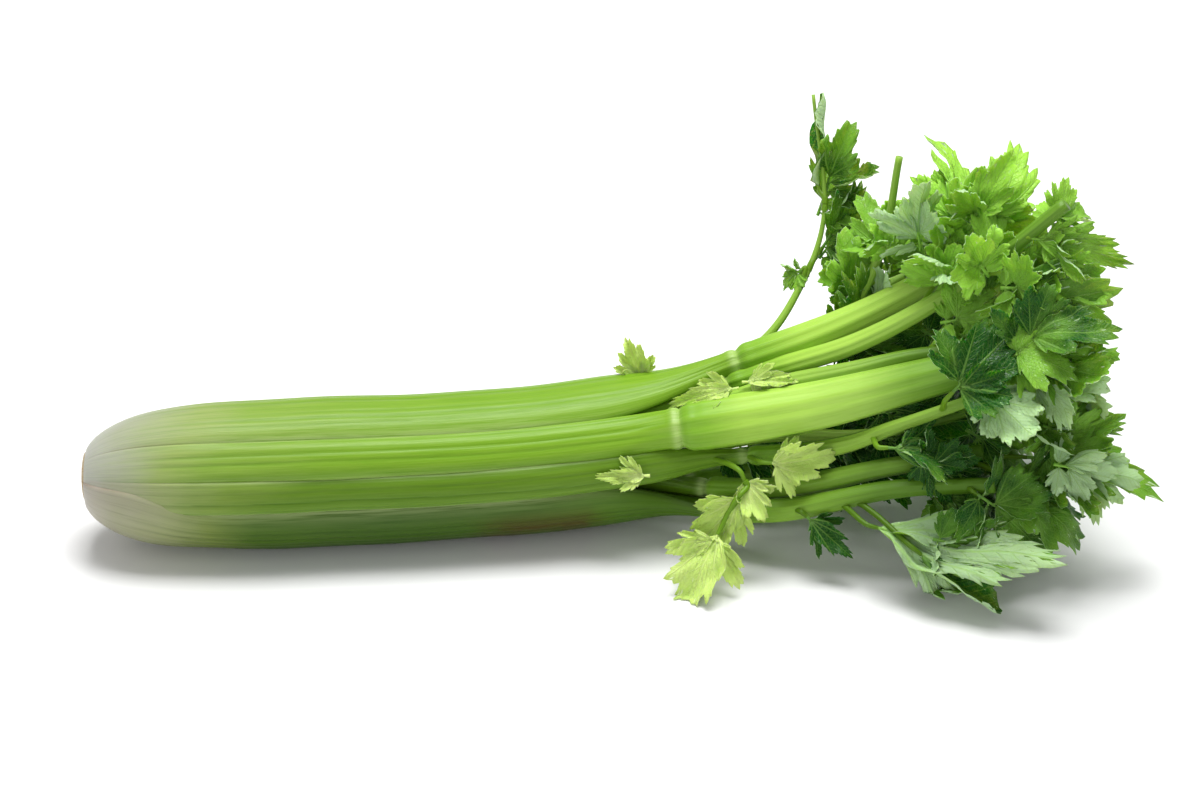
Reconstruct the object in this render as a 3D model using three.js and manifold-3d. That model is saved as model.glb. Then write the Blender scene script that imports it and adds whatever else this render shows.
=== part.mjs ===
import * as THREE from "three";
import { mergeVertices } from "three/addons/utils/BufferGeometryUtils.js";
import Module from "manifold-3d";

// A head of celery lying on its side: butt at -X, leaves at +X, all sizes in millimetres.
const BUNDLE_RADIUS = 33.2;
const AXIS_HEIGHT = 32.6;
const AXIS_RISE = 8;
const AXIS_BEND = 27.6;
const BEND_START = 150;
const JOINT_REACH = 290;
const CROWN_RADIUS = 12.2;
const CROWN_LENGTH = 46;
const CUT_FACE_RADIUS = 10.8;
const FORK_RADIUS = 1.5;
const LEAF_THICKNESS = 1.0;
const CLEARANCE = 0.32;
const SMOOTHING = 0.05;

const wasm = await Module();
wasm.setup();
const group = new THREE.Group();
group.name = "head_of_celery";

const vec = (p) => new THREE.Vector3(p[0], p[1], p[2]);

// Centre of the bundle: straight at the butt, then bending back (+Y) and up (+Z).
function axisAt(x) {
  const along = Math.max(x, 0) / JOINT_REACH;
  const lift = Math.max(0, (x - BEND_START) / (JOINT_REACH - BEND_START));
  const y = AXIS_BEND * Math.pow(along, 1.9);
  const z = AXIS_HEIGHT + AXIS_RISE * lift * lift;
  return new THREE.Vector3(x, y, z);
}

// Radius of the bundle and of the shells the rings of stalks fill.
const outerRadius = (x) => BUNDLE_RADIUS * (1 - 0.6 * Math.exp(-x / 20));
const outerInside = (x) => 24.3 - 12.2 * Math.exp(-(x - 1.5) / 18);
const secondInside = (x) => 15.8 - 3.2 * Math.exp(-(x - 10) / 20);
const LONG_STATIONS = [0, 3, 7, 13, 22, 36, 60, 110, 160];
const SHORT_STATIONS = [0, 5, 14, 30, 70, 130];
const RINGS = {
  outer: {
    points: 12, steps: 13, start: 1.5, stations: LONG_STATIONS,
    outside: outerRadius, inside: outerInside,
  },
  second: {
    points: 8, steps: 10, start: 10, stations: SHORT_STATIONS,
    outside: (x) => outerInside(x) - 0.6, inside: secondInside,
  },
  heart: {
    points: 8, steps: 9, start: 46.5, stations: SHORT_STATIONS,
    outside: (x) => secondInside(x) - 0.6, inside: () => 1.6,
  },
};

// Each stalk: ring, edges in degrees round the bundle, where it starts to narrow, its joint,
// half width and half thickness after the joint and at the tip, and the way its upper stem goes.
const STALKS = [
  ["stalk_top", "outer", 45, 122, 226, 289, [7.8, 7.4], [5.2, 5],
    [[331, 33, 89], [370, 35, 110], [386, 36, 121]]],
  ["stalk_front", "outer", 123, 155, 236, 263, [11.2, 8.6], [7, 6.4],
    [[320, -5, 71], [375, -12, 91], [404, -15, 101]]],
  ["stalk_lower", "outer", 156, 183, 248, 292, [4.2, 3.9], [2.4, 2.3],
    [[330, -9, 53], [356, -20, 70], [392, -28, 90]]],
  ["stalk_wrap", "outer", 184, 261, 225, 278, [6, 5.4], [3.6, 3.4],
    [[306, -18, 26], [356, -28, 43], [398, -36, 50]]],
  ["stalk_under", "outer", 262, 307, 215, 270, [6.4, 5.4], [3, 2.8],
    [[310, 34, 18], [350, 30, 17], [395, 40, 26]]],
  ["stalk_rear_low", "outer", 308, 355, 215, 268, [6.4, 5.4], [3, 2.8],
    [[310, 60, 27], [350, 72, 28], [392, 86, 42]]],
  ["stalk_rear_high", "outer", 356, 404, 215, 275, [6.4, 5.4], [3, 2.8],
    [[310, 58, 62], [350, 72, 82], [388, 84, 104]]],
  ["inner_top", "second", 73, 118, 215, 284, [4.9, 4.6], [3.1, 3],
    [[300, 22, 73], [338, 16, 90], [368, 12, 110], [396, 9, 134], [426, 8, 163]]],
  ["inner_front", "second", 119, 178, 200, 258, [4.8, 4.4], [2.6, 2.5],
    [[300, 9, 71], [338, 4, 84], [364, 3, 92], [392, 0, 98]]],
  ["inner_low", "second", 179, 262, 225, 275, [5.8, 5.2], [3.6, 3.4],
    [[304, -8, 31], [356, -20, 50], [394, -18, 56]]],
  ["inner_rear", "second", 263, 345, 210, 262, [4.6, 4.2], [2.6, 2.4],
    [[300, 47, 37], [345, 54, 38], [385, 68, 58]]],
  ["inner_back", "second", -14, 72, 210, 262, [2.5, 2.4], [0.9, 0.9],
    [[298, 47, 72], [318, 66, 92], [329, 84, 118], [324, 108, 168]]],
  ["heart_top", "heart", 30, 146, 220, 268, [3.6, 3.4], [1.7, 1.6],
    [[300, 36, 56], [334, 44, 84], [352, 52, 116], [359, 56, 162]]],
  ["heart_front", "heart", 150, 266, 220, 268, [3.6, 3.4], [2.2, 2.2],
    [[300, 16, 44], [345, 10, 48], [396, -4, 70]]],
  ["heart_rear", "heart", 270, 386, 220, 268, [3.6, 3.4], [2.2, 2.2],
    [[300, 38, 44], [345, 50, 62], [388, 62, 88]]],
];

// Each leaf: parent stalk, how far along the parent's upper stem it leaves, base, tip,
// the way its upper face looks, width, cupping and colour group.
const CAMERA_SIDE = [0, -0.87, 0.5];
const UPWARD = [0, 0, 1];
const LEAVES = [
  ["leaf_back_edge", "inner_back", 0.8, [327, 92, 130], [324, 109, 172], [-1, 0.1, 0.1], 26, 0.3, "green"],
  ["leaf_back_high", "inner_back", 0.72, [330, 93, 124], [344, 103, 157], CAMERA_SIDE, 25, 0.5, "green"],
  ["leaf_back_low", "inner_back", 0.55, [329, 84, 103], [347, 92, 131], CAMERA_SIDE, 26, 0.4, "green"],
  ["leaf_back_small", "inner_back", 0.4, [319, 70, 99], [308, 68, 92], CAMERA_SIDE, 17, 0.3, "green"],
  ["leaf_rear_pale", "heart_top", 0.6, [340, 60, 94], [336, 62, 124], CAMERA_SIDE, 40, 0.4, "green"],
  ["leaf_rear_mid", "heart_top", 0.8, [356, 56, 108], [345, 66, 136], CAMERA_SIDE, 34, 0.4, "green"],
  ["leaf_rear_tip", "heart_top", 0.95, [366, 58, 112], [374, 62, 146], CAMERA_SIDE, 37, 0.4, "green"],
  ["leaf_crest_left", "stalk_top", 0.85, [384, 44, 128], [386, 56, 168], CAMERA_SIDE, 40, 0.6, "green"],
  ["leaf_crest_right", "stalk_top", 1, [398, 36, 136], [409, 40, 170], CAMERA_SIDE, 37, 0.6, "green"],
  ["leaf_crest_mid", "inner_top", 0.8, [380, 30, 122], [396, 26, 152], CAMERA_SIDE, 40, 0.5, "green"],
  ["leaf_hook", "inner_top", 0.88, [412, 6, 148], [456, 2, 139], CAMERA_SIDE, 34, 0.4, "green"],
  ["leaf_right_high", "inner_top", 0.8, [408, 2, 130], [447, -6, 112], CAMERA_SIDE, 45, 0.4, "green"],
  ["leaf_right_crest", "inner_top", 0.95, [420, 12, 152], [440, 22, 158], CAMERA_SIDE, 29, 0.4, "green"],
  ["leaf_dark_high", "inner_front", 0.95, [392, 12, 118], [432, -14, 118], CAMERA_SIDE, 50, 0.5, "green"],
  ["leaf_dark_mid", "stalk_front", 0.9, [404, -18, 108], [438, -20, 128], CAMERA_SIDE, 40, 0.5, "green"],
  ["leaf_dark_right", "stalk_front", 1, [414, -18, 102], [448, -22, 90], CAMERA_SIDE, 45, 0.5, "green"],
  ["leaf_front_dark", "stalk_lower", 0.85, [378, -32, 94], [401, -32, 124], CAMERA_SIDE, 42, 0.5, "green"],
  ["leaf_front_pale", "stalk_lower", 1, [394, -32, 92], [412, -42, 76], CAMERA_SIDE, 32, 0.5, "green"],
  ["leaf_right_mid", "heart_front", 1, [410, -4, 82], [447, 2, 94], CAMERA_SIDE, 37, 0.4, "green"],
  ["leaf_tip_long", "inner_low", 1, [414, -16, 52], [472, -25, 53], CAMERA_SIDE, 48, 0.5, "green"],
  ["leaf_tip_low", "inner_low", 0.9, [406, -24, 46], [442, -32, 26], CAMERA_SIDE, 40, 0.5, "green"],
  ["leaf_tip_high", "heart_front", 0.9, [408, -14, 72], [456, -18, 66], CAMERA_SIDE, 40, 0.5, "green"],
  ["leaf_low_large", "stalk_wrap", 0.55, [348, -42, 32], [425, -62, 17], [0.1, -0.4, 0.9], 48, 0.5, "green"],
  ["leaf_low_narrow", "stalk_wrap", 0.62, [366, -54, 26], [399, -67, 3], [0.2, -0.5, 0.8], 18, 0.4, "green"],
  ["leaf_low_dark", "stalk_wrap", 0.35, [318, -28, 29], [338, -36, 14], CAMERA_SIDE, 24, 0.4, "green"],
  ["leaf_low_right", "stalk_wrap", 0.95, [390, -40, 48], [424, -46, 25], CAMERA_SIDE, 45, 0.5, "green"],
  ["leaf_crinkled", "stalk_lower", 0.7, [352, -28, 64], [396, -36, 66], [0, -0.5, 0.87], 29, 0.5, "green"],
  ["leaf_under_left", "stalk_under", 0.85, [372, 36, 20], [412, 16, 5], UPWARD, 45, 0.4, "green"],
  ["leaf_under_right", "stalk_under", 1, [398, 50, 28], [446, 56, 8], UPWARD, 48, 0.4, "green"],
  ["leaf_floor_rear", "stalk_rear_low", 0.85, [378, 94, 46], [418, 112, 4], [0.2, 0.6, 0.8], 48, 0.4, "green"],
  ["leaf_rear_right", "stalk_rear_low", 1, [396, 92, 54], [440, 92, 44], [0.2, 0.6, 0.8], 45, 0.4, "green"],
  ["leaf_rear_high", "stalk_rear_high", 0.9, [380, 84, 100], [404, 104, 128], [0.3, 0.8, 0.5], 45, 0.4,
    "green"],
  ["leaf_rear_out", "stalk_rear_high", 1, [390, 86, 104], [432, 86, 106], [0.1, 0.5, 0.9], 45, 0.4, "green"],
  ["leaf_heart_high", "heart_rear", 1, [392, 62, 90], [430, 50, 84], UPWARD, 45, 0.4, "green"],
  ["leaf_heart_low", "inner_rear", 1, [388, 74, 72], [432, 64, 62], UPWARD, 42, 0.4, "green"],
  ["young_spray_top", "stalk_lower", 0.04, [291, -21, 43], [299, -28, 29], CAMERA_SIDE, 19, 0.3, "young"],
  ["young_spray_mid", "stalk_lower", 0.02, [288, -27, 38], [273, -34, 17], CAMERA_SIDE, 22, 0.3, "young"],
  ["young_spray_low", "stalk_lower", 0.0, [279, -35, 24], [264, -57, 3], [0, -0.7, 0.7], 27, 0.3, "young"],
  ["young_top", "inner_top", 0.0, [247, 31, 65], [241, 31, 80], CAMERA_SIDE, 15, 0.3, "young"],
  ["young_gap", "inner_front", 0.1, [288, 6, 74], [266, 4, 71], [0, -0.6, 0.8], 10, 0.3, "young"],
  ["young_joint", "inner_top", 0.1, [291, 8, 76], [310, 5, 79], [0, -0.6, 0.8], 11, 0.3, "young"],
  ["young_under", "stalk_lower", 0.25, [303, -16, 49], [325, -22, 50], CAMERA_SIDE, 13, 0.3, "young"],
  ["young_scrap", "stalk_lower", 0.0, [249, -15, 42], [232, -17, 43], CAMERA_SIDE, 9, 0.2, "young"],
];

// A closed skin over a list of rings that all have the same number of points.
function skin(rings) {
  const points = [];
  const faces = [];
  const count = rings[0].length;
  const middle = (ring) => ring.reduce((a, p) => a.add(p), new THREE.Vector3()).divideScalar(count);
  rings.forEach((ring) => ring.forEach((p) => points.push(p)));
  for (let r = 0; r + 1 < rings.length; r += 1) {
    for (let k = 0; k < count; k += 1) {
      const a = r * count + k;
      const b = r * count + ((k + 1) % count);
      faces.push([a, b, a + count], [b, b + count, a + count]);
    }
  }
  const first = points.push(middle(rings[0])) - 1;
  const last = points.push(middle(rings[rings.length - 1])) - 1;
  const top = (rings.length - 1) * count;
  for (let k = 0; k < count; k += 1) {
    const next = (k + 1) % count;
    faces.push([first, next, k], [last, top + k, top + next]);
  }
  return solidFrom(points, faces);
}

// Turns points and faces into a solid, facing out whichever way they were wound.
function solidFrom(points, faces) {
  const flat = new Float32Array(points.flatMap((p) => [p.x, p.y, p.z]));
  let volume = 0;
  for (const [a, b, c] of faces) {
    volume += points[a].dot(new THREE.Vector3().crossVectors(points[b], points[c]));
  }
  const turned = volume < 0 ? faces.map(([a, b, c]) => [a, c, b]) : faces;
  const mesh = new wasm.Mesh({ numProp: 3, vertProperties: flat, triVerts: new Uint32Array(turned.flat()) });
  return new wasm.Manifold(mesh);
}

// Point k of a stalk's section inside the bundle, wide and curved round the bundle's centre.
function bundlePoint(stalk, x, k, grow) {
  const ring = RINGS[stalk[1]];
  const outerCount = ring.points / 2;
  const step = 2 / (outerCount - 1);
  const outer = k < outerCount;
  const across = outer ? -1 + step * k : 1 - step * (k - outerCount);
  const outside = ring.outside(x);
  const inside = ring.inside(x);
  const middle = (outside + inside) / 2;
  const half = ((outside - inside) / 2 + grow) * (1 - 0.35 * Math.pow(Math.abs(across), 4));
  const margin = ((0.3 - grow) / middle) * (180 / Math.PI);
  const start = stalk[2] + margin;
  const end = stalk[3] - margin;
  const degrees = (start + end) / 2 + (across * (end - start)) / 2;
  const angle = (degrees * Math.PI) / 180;
  const radius = middle + (outer ? half : -half);
  const centre = axisAt(x);
  return new THREE.Vector3(x, centre.y + radius * Math.cos(angle), centre.z + radius * Math.sin(angle));
}

// Middle of a stalk's section inside the bundle.
function bundleMiddle(stalk, x) {
  const ring = RINGS[stalk[1]];
  const radius = (ring.outside(x) + ring.inside(x)) / 2;
  const angle = (((stalk[2] + stalk[3]) / 2) * Math.PI) / 180;
  const centre = axisAt(x);
  return new THREE.Vector3(x, centre.y + radius * Math.cos(angle), centre.z + radius * Math.sin(angle));
}

// Smooth way of the upper stem, from where the stalk starts to narrow out to its tip.
function upperCurve(stalk) {
  const start = bundleMiddle(stalk, stalk[4]);
  const before = bundleMiddle(stalk, (stalk[4] + stalk[5]) / 2);
  return new THREE.CatmullRomCurve3([start, before, ...stalk[8].map(vec)], false, "centripetal");
}

// Ring of points round the upper stem, level with the bundle's own radial direction.
function stemRing(stalk, curve, t, wide, thick) {
  const centre = curve.getPoint(t);
  const tangent = curve.getTangent(t);
  const angle = (((stalk[2] + stalk[3]) / 2) * Math.PI) / 180;
  const outward = new THREE.Vector3(0, Math.cos(angle), Math.sin(angle));
  outward.addScaledVector(tangent, -outward.dot(tangent)).normalize();
  const side = new THREE.Vector3().crossVectors(tangent, outward);
  const points = [];
  const count = RINGS[stalk[1]].points;
  for (let k = 0; k < count; k += 1) {
    const turn = ((k + 0.5) / count) * 2 * Math.PI - Math.PI / 2;
    const p = centre.clone();
    p.addScaledVector(side, wide * Math.sin(turn));
    p.addScaledVector(outward, thick * Math.cos(turn));
    points.push(p);
  }
  return points;
}

// Whole stalk: a wide section up the bundle that turns into a round stem at the joint.
function stalkSolid(stalk, grow) {
  const [, ringName, , , narrow, joint, jointSize, tipSize] = stalk;
  const rings = [];
  const { start, stations, points, steps } = RINGS[ringName];
  for (const x of stations.map((d) => start - grow + d).filter((s) => s < narrow - 20)) {
    rings.push(Array.from({ length: points }, (_, k) => bundlePoint(stalk, x, k, grow)));
  }
  const curve = upperCurve(stalk);
  for (let i = 0; i <= steps; i += 1) {
    const t = i / steps;
    const here = curve.getPoint(t).x;
    const blend = THREE.MathUtils.smoothstep(here, narrow, joint);
    const along = THREE.MathUtils.smoothstep(t, 0.35, 1);
    const neck = 0.78 + 0.22 * THREE.MathUtils.smoothstep(here, joint - 1, joint + 12);
    const wide = THREE.MathUtils.lerp(jointSize[0], tipSize[0], along) * neck + grow;
    const thick = THREE.MathUtils.lerp(jointSize[1], tipSize[1], along) * neck + grow;
    const round = stemRing(stalk, curve, t, wide, thick);
    rings.push(round.map((p, k) => {
      return blend >= 1 ? p : bundlePoint(stalk, Math.min(here, joint), k, grow).lerp(p, blend);
    }));
  }
  rings.forEach((ring) => ring.forEach((p) => { p.z = Math.max(p.z, 0); }));
  return skin(rings);
}

// Thin side stem from a stalk to the foot of a leaf.
function forkSolid(stalk, leaf, grow) {
  const curve = upperCurve(stalk);
  const from = curve.getPoint(THREE.MathUtils.lerp(0.35, 1, leaf[2]));
  const to = vec(leaf[3]);
  const way = to.clone().sub(from);
  const ahead = curve.getTangent(1).multiplyScalar(way.length() * 0.3);
  const middle = from.clone().add(to).multiplyScalar(0.5).add(ahead.multiplyScalar(0.4));
  const path = new THREE.CatmullRomCurve3([from, middle, to]);
  const rings = [0, 0.33, 0.66, 1].map((t) => {
    const tangent = path.getTangent(t);
    const side = new THREE.Vector3().crossVectors(tangent, new THREE.Vector3(0, 0.3, 1)).normalize();
    const up = new THREE.Vector3().crossVectors(side, tangent);
    const radius = FORK_RADIUS * (1.15 - 0.25 * t) + grow;
    return Array.from({ length: 5 }, (_, k) => {
      const turn = (k * 2 * Math.PI) / 5;
      const p = path.getPoint(t).addScaledVector(side, radius * Math.cos(turn));
      return p.addScaledVector(up, radius * Math.sin(turn));
    });
  });
  return skin(rings);
}

// Outline of a three-lobed leaf: turn from the tip in degrees, reach in lengths, reach in widths.
const LEAF_OUTLINE = [
  [0, 0.55, 0], [20, 0.3, 0.06], [38, 0.14, 0.16], [60, 0.1, 0.38],
  [82, 0, 0.5], [108, 0, 0.4], [138, 0.12, 0.18], [180, 0.45, 0],
];

// Thin leaf plate, cupped across and drooping to its tip.
function leafSolid(leaf, grow) {
  const base = vec(leaf[3]);
  const tip = vec(leaf[4]);
  const width = leaf[6];
  const along = tip.clone().sub(base);
  const length = along.length();
  along.normalize();
  const face = vec(leaf[5]);
  face.addScaledVector(along, -face.dot(along)).normalize();
  const side = new THREE.Vector3().crossVectors(face, along);
  const mirrored = LEAF_OUTLINE.slice(1, -1).reverse().map(([a, l, w]) => [-a, l, w]);
  const outline = [...LEAF_OUTLINE, ...mirrored];
  const place = (u, v, lift) => {
    const across = v / (width / 2);
    const height = leaf[7] * width * 0.22 * across * across - 0.1 * length * Math.pow(u / length, 2);
    const p = base.clone().addScaledVector(along, u).addScaledVector(side, v);
    p.addScaledVector(face, height);
    p.z = Math.max(p.z, 0.8);
    return p.addScaledVector(face, lift);
  };
  const rings = [];
  const reach = [0.5, 1];
  const half = LEAF_THICKNESS / 2 + grow;
  const ring = (scale, lift) => outline.map(([turn, inLength, inWidth]) => {
    const r = (inLength * length + inWidth * width) * scale + (scale === 1 ? grow : 0);
    const a = (turn * Math.PI) / 180;
    return place(0.45 * length + r * Math.cos(a) + 0.6, r * Math.sin(a), lift);
  });
  reach.forEach((scale) => rings.push(ring(scale, half)));
  [...reach].reverse().forEach((scale) => rings.push(ring(scale, -half)));
  return skin(rings);
}

// The short solid stem the stalks grow from, cut flat at the root end.
function crownSolid(grow) {
  const profile = [
    [0, CUT_FACE_RADIUS], [1.2, 11.6], [5, CROWN_RADIUS], [42, CROWN_RADIUS], [CROWN_LENGTH, 10],
  ];
  const rings = profile.map(([x, radius], i) => {
    const at = i === 0 ? x - grow : i === profile.length - 1 ? x + grow : x;
    const centre = axisAt(Math.max(x, 0));
    return Array.from({ length: 18 }, (_, k) => {
      const turn = (k * Math.PI) / 9;
      const r = radius + grow;
      return new THREE.Vector3(at, centre.y + r * Math.cos(turn), centre.z + r * Math.sin(turn));
    });
  });
  return skin(rings);
}

// Cuts a solid clear of everything already placed and keeps its largest piece.
const placed = [];
function clearOfOthers(solid, grown) {
  const box = solid.boundingBox();
  let result = solid;
  for (const other of placed) {
    const apart = [0, 1, 2].some((i) => other.box.min[i] > box.max[i] || other.box.max[i] < box.min[i]);
    if (!apart) {
      result = result.subtract(other.grown);
    }
  }
  placed.push({ grown, box: grown.boundingBox() });
  const pieces = result.decompose().sort((a, b) => b.volume() - a.volume());
  return pieces[0].simplify(SMOOTHING);
}

function addMesh(name, solid, colour, roughness) {
  const mesh = solid.getMesh();
  const geometry = new THREE.BufferGeometry();
  geometry.setAttribute("position", new THREE.BufferAttribute(new Float32Array(mesh.vertProperties), 3));
  geometry.setIndex(Array.from(mesh.triVerts));
  const material = new THREE.MeshStandardMaterial({ color: colour, roughness, metalness: 0 });
  const body = new THREE.Mesh(mergeVertices(geometry, 1e-3), material);
  body.name = name;
  group.add(body);
}

const STALK_COLOURS = { outer: 0x8fb84c, second: 0x9fc65c, heart: 0xbcd97c };
const LEAF_COLOURS = { green: 0x3f8a2c, young: 0xa8d84e };

addMesh("crown", clearOfOthers(crownSolid(0), crownSolid(CLEARANCE)), 0xc9cba0, 0.6);
for (const stalk of STALKS) {
  let solid = stalkSolid(stalk, 0);
  let grown = stalkSolid(stalk, CLEARANCE);
  for (const leaf of LEAVES.filter((l) => l[1] === stalk[0])) {
    solid = solid.add(forkSolid(stalk, leaf, 0));
    grown = grown.add(forkSolid(stalk, leaf, CLEARANCE));
  }
  addMesh(stalk[0], clearOfOthers(solid, grown), STALK_COLOURS[stalk[1]], 0.42);
}
for (const leaf of LEAVES) {
  const solid = clearOfOthers(leafSolid(leaf, 0), leafSolid(leaf, CLEARANCE));
  addMesh(leaf[0], solid, LEAF_COLOURS[leaf[8]], 0.5);
}

// Origin in the middle of the footprint, on the surface the head lies on.
const bounds = new THREE.Box3().setFromObject(group);
const shift = bounds.getCenter(new THREE.Vector3());
shift.z = bounds.min.z;
for (const body of group.children) {
  body.geometry.translate(-shift.x, -shift.y, -shift.z);
}

export default group;
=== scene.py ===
import math
import random

import bmesh
import bpy
import numpy as np
from mathutils import Euler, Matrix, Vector


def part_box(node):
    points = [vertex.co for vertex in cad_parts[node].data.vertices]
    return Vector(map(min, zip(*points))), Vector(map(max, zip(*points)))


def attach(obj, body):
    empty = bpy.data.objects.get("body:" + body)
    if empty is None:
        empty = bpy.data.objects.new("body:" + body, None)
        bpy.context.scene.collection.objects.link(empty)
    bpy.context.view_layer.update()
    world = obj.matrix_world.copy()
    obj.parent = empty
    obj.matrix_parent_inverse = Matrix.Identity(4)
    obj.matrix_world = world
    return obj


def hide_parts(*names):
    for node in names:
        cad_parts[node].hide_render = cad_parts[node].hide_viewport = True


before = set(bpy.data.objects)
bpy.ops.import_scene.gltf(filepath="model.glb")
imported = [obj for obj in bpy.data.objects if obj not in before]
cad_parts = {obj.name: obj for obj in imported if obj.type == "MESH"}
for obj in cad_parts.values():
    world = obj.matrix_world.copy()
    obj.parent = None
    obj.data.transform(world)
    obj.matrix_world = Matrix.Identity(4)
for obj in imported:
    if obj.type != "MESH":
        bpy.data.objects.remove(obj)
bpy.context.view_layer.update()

# ---------------------------------------------------------------------------
# Crown: the short woody stem at the root end that every stalk grows from. It is
# cut flat across, so the cut face is dry and cream, with browned vein ends in it.
MM = 0.001
BUNDLE_RADIUS = 33.2
AXIS_HEIGHT = 32.6
AXIS_RISE = 8.0
AXIS_BEND = 27.6
BEND_START = 150.0
JOINT_REACH = 290.0
CROWN_RADIUS = 12.2

crown_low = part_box("crown")[0]
HEAD_ORIGIN = np.array([crown_low[0], crown_low[1] + CROWN_RADIUS * MM, 0.0])


def axis_at(x):
    """Centre of the bundle at x millimetres from the butt."""
    x = np.maximum(np.asarray(x, float), 0.0)
    lift = np.maximum(0.0, (x - BEND_START) / (JOINT_REACH - BEND_START))
    y = AXIS_BEND * (x / JOINT_REACH) ** 1.9
    z = AXIS_HEIGHT + AXIS_RISE * lift ** 2
    return np.stack([x, y, z], axis=-1)


def in_row(points):
    """Head millimetres to metres in the shared frame."""
    return np.asarray(points, float) * MM + HEAD_ORIGIN


def paint(red, green, blue):
    """A screen colour, 0 to 255, as linear light."""
    def linear(c):
        c /= 255.0
        return c / 12.92 if c <= 0.04045 else ((c + 0.055) / 1.055) ** 2.4
    return (linear(red), linear(green), linear(blue), 1.0)


def mesh_piece(name, points, faces, values=None):
    """A smooth mesh object from row-frame points, with named values at its points."""
    mesh = bpy.data.meshes.new(name)
    mesh.from_pydata([tuple(p) for p in points], [], [tuple(f) for f in faces])
    for key, numbers in (values or {}).items():
        kept = mesh.attributes.new(key, "FLOAT", "POINT")
        kept.data.foreach_set("value", np.asarray(numbers, np.float32))
    mesh.polygons.foreach_set("use_smooth", [True] * len(mesh.polygons))
    mesh.update()
    piece = bpy.data.objects.new(name, mesh)
    bpy.context.collection.objects.link(piece)
    return piece


def grid_faces(rows, columns, closed):
    """Quads over rows of points; each row closes on itself where asked."""
    faces = []
    for r in range(rows - 1):
        for c in range(columns if closed else columns - 1):
            n = (c + 1) % columns
            faces.append((r * columns + c, r * columns + n, (r + 1) * columns + n, (r + 1) * columns + c))
    return faces


def face_outwards(piece):
    """Turns every face of a closed piece outwards."""
    shape = bmesh.new()
    shape.from_mesh(piece.data)
    bmesh.ops.recalc_face_normals(shape, faces=shape.faces)
    shape.to_mesh(piece.data)
    shape.free()


class Nodes:
    """Short ways to add and link nodes in a shader or geometry tree."""

    def __init__(self, tree):
        self.tree = tree

    def add(self, kind, **settings):
        node = self.tree.nodes.new(kind)
        for key, value in settings.items():
            setattr(node, key, value)
        return node

    def put(self, value, socket):
        if isinstance(value, bpy.types.NodeSocket):
            self.tree.links.new(value, socket)
        else:
            socket.default_value = value

    def math(self, operation, a, b=0.0, c=0.0, clamp=False):
        node = self.add("ShaderNodeMath", operation=operation, use_clamp=clamp)
        for value, socket in zip((a, b, c), node.inputs):
            self.put(value, socket)
        return node.outputs[0]

    def vector(self, operation, a, b=(0.0, 0.0, 0.0), scale=1.0):
        node = self.add("ShaderNodeVectorMath", operation=operation)
        self.put(a, node.inputs[0])
        self.put(b, node.inputs[1])
        if operation == "SCALE":
            self.put(scale, node.inputs[3])
        return node.outputs[0]

    def mix(self, share, first, second):
        node = self.add("ShaderNodeMix", data_type="RGBA", clamp_factor=True)
        self.put(share, node.inputs[0])
        self.put(first, node.inputs[6])
        self.put(second, node.inputs[7])
        return node.outputs[2]

    def ramp(self, value, stops):
        node = self.add("ShaderNodeValToRGB")
        marks = node.color_ramp.elements
        while len(marks) < len(stops):
            marks.new(0.5)
        for mark, (place, colour) in zip(marks, stops):
            mark.position = place
            mark.color = colour
        self.put(value, node.inputs[0])
        return node.outputs[0]

    def span(self, value, low, high, out_low=0.0, out_high=1.0):
        node = self.add("ShaderNodeMapRange", clamp=True)
        for v, socket in zip((value, low, high, out_low, out_high), node.inputs):
            self.put(v, socket)
        return node.outputs[0]

    def noise(self, place, scale, detail=3.0, roughness=0.5):
        node = self.add("ShaderNodeTexNoise")
        self.put(place, node.inputs["Vector"])
        node.inputs["Scale"].default_value = scale
        node.inputs["Detail"].default_value = detail
        node.inputs["Roughness"].default_value = roughness
        return node.outputs[0]

    def value(self, name):
        return self.add("ShaderNodeAttribute", attribute_name=name).outputs["Fac"]

    def stored(self, name):
        node = self.add("GeometryNodeInputNamedAttribute", data_type="FLOAT")
        node.inputs["Name"].default_value = name
        return node.outputs[0]


def new_finish(name):
    """An empty material: its node helper, its shader and its Object coordinates."""
    material = bpy.data.materials.new(name)
    material.use_nodes = True
    nodes = Nodes(material.node_tree)
    shader = material.node_tree.nodes["Principled BSDF"]
    place = nodes.add("ShaderNodeTexCoord").outputs["Object"]
    return material, nodes, shader, place


def bump(nodes, shader, height, strength, distance):
    node = nodes.add("ShaderNodeBump")
    node.inputs["Strength"].default_value = strength
    node.inputs["Distance"].default_value = distance
    nodes.put(height, node.inputs["Height"])
    nodes.put(node.outputs[0], shader.inputs["Normal"])


def crown_finish():
    material, nodes, shader, place = new_finish("cut butt")
    rings = nodes.noise(nodes.vector("MULTIPLY", place, (40.0, 220.0, 220.0)), 1.0, 4.0)
    specks = nodes.noise(place, 900.0, 2.0)
    rim = nodes.value("rim")
    colour = nodes.ramp(rings, [(0.3, paint(206, 196, 160)), (0.7, paint(232, 228, 204))])
    browned = nodes.math("MULTIPLY", nodes.span(specks, 0.52, 0.62), 0.55)
    colour = nodes.mix(browned, colour, paint(158, 120, 72))
    colour = nodes.mix(nodes.math("MULTIPLY", rim, 0.55), colour, paint(150, 118, 78))
    nodes.put(colour, shader.inputs["Base Color"])
    shader.inputs["Roughness"].default_value = 0.72
    bump(nodes, shader, nodes.math("ADD", rings, specks), 0.5, 0.0006)
    return material


# reach from the butt and radius of each ring, between the middles of the two ends
CROWN_PROFILE = ((0.7, 3.0), (0.3, 6.5), (0.0, 9.4), (0.3, 10.6), (1.2, 11.5), (5.0, 12.1),
                 (14.0, CROWN_RADIUS), (30.0, CROWN_RADIUS), (42.0, CROWN_RADIUS), (45.5, 10.6))
CROWN_ENDS = (0.9, 46.0)
CROWN_TURNS = 72


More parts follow.
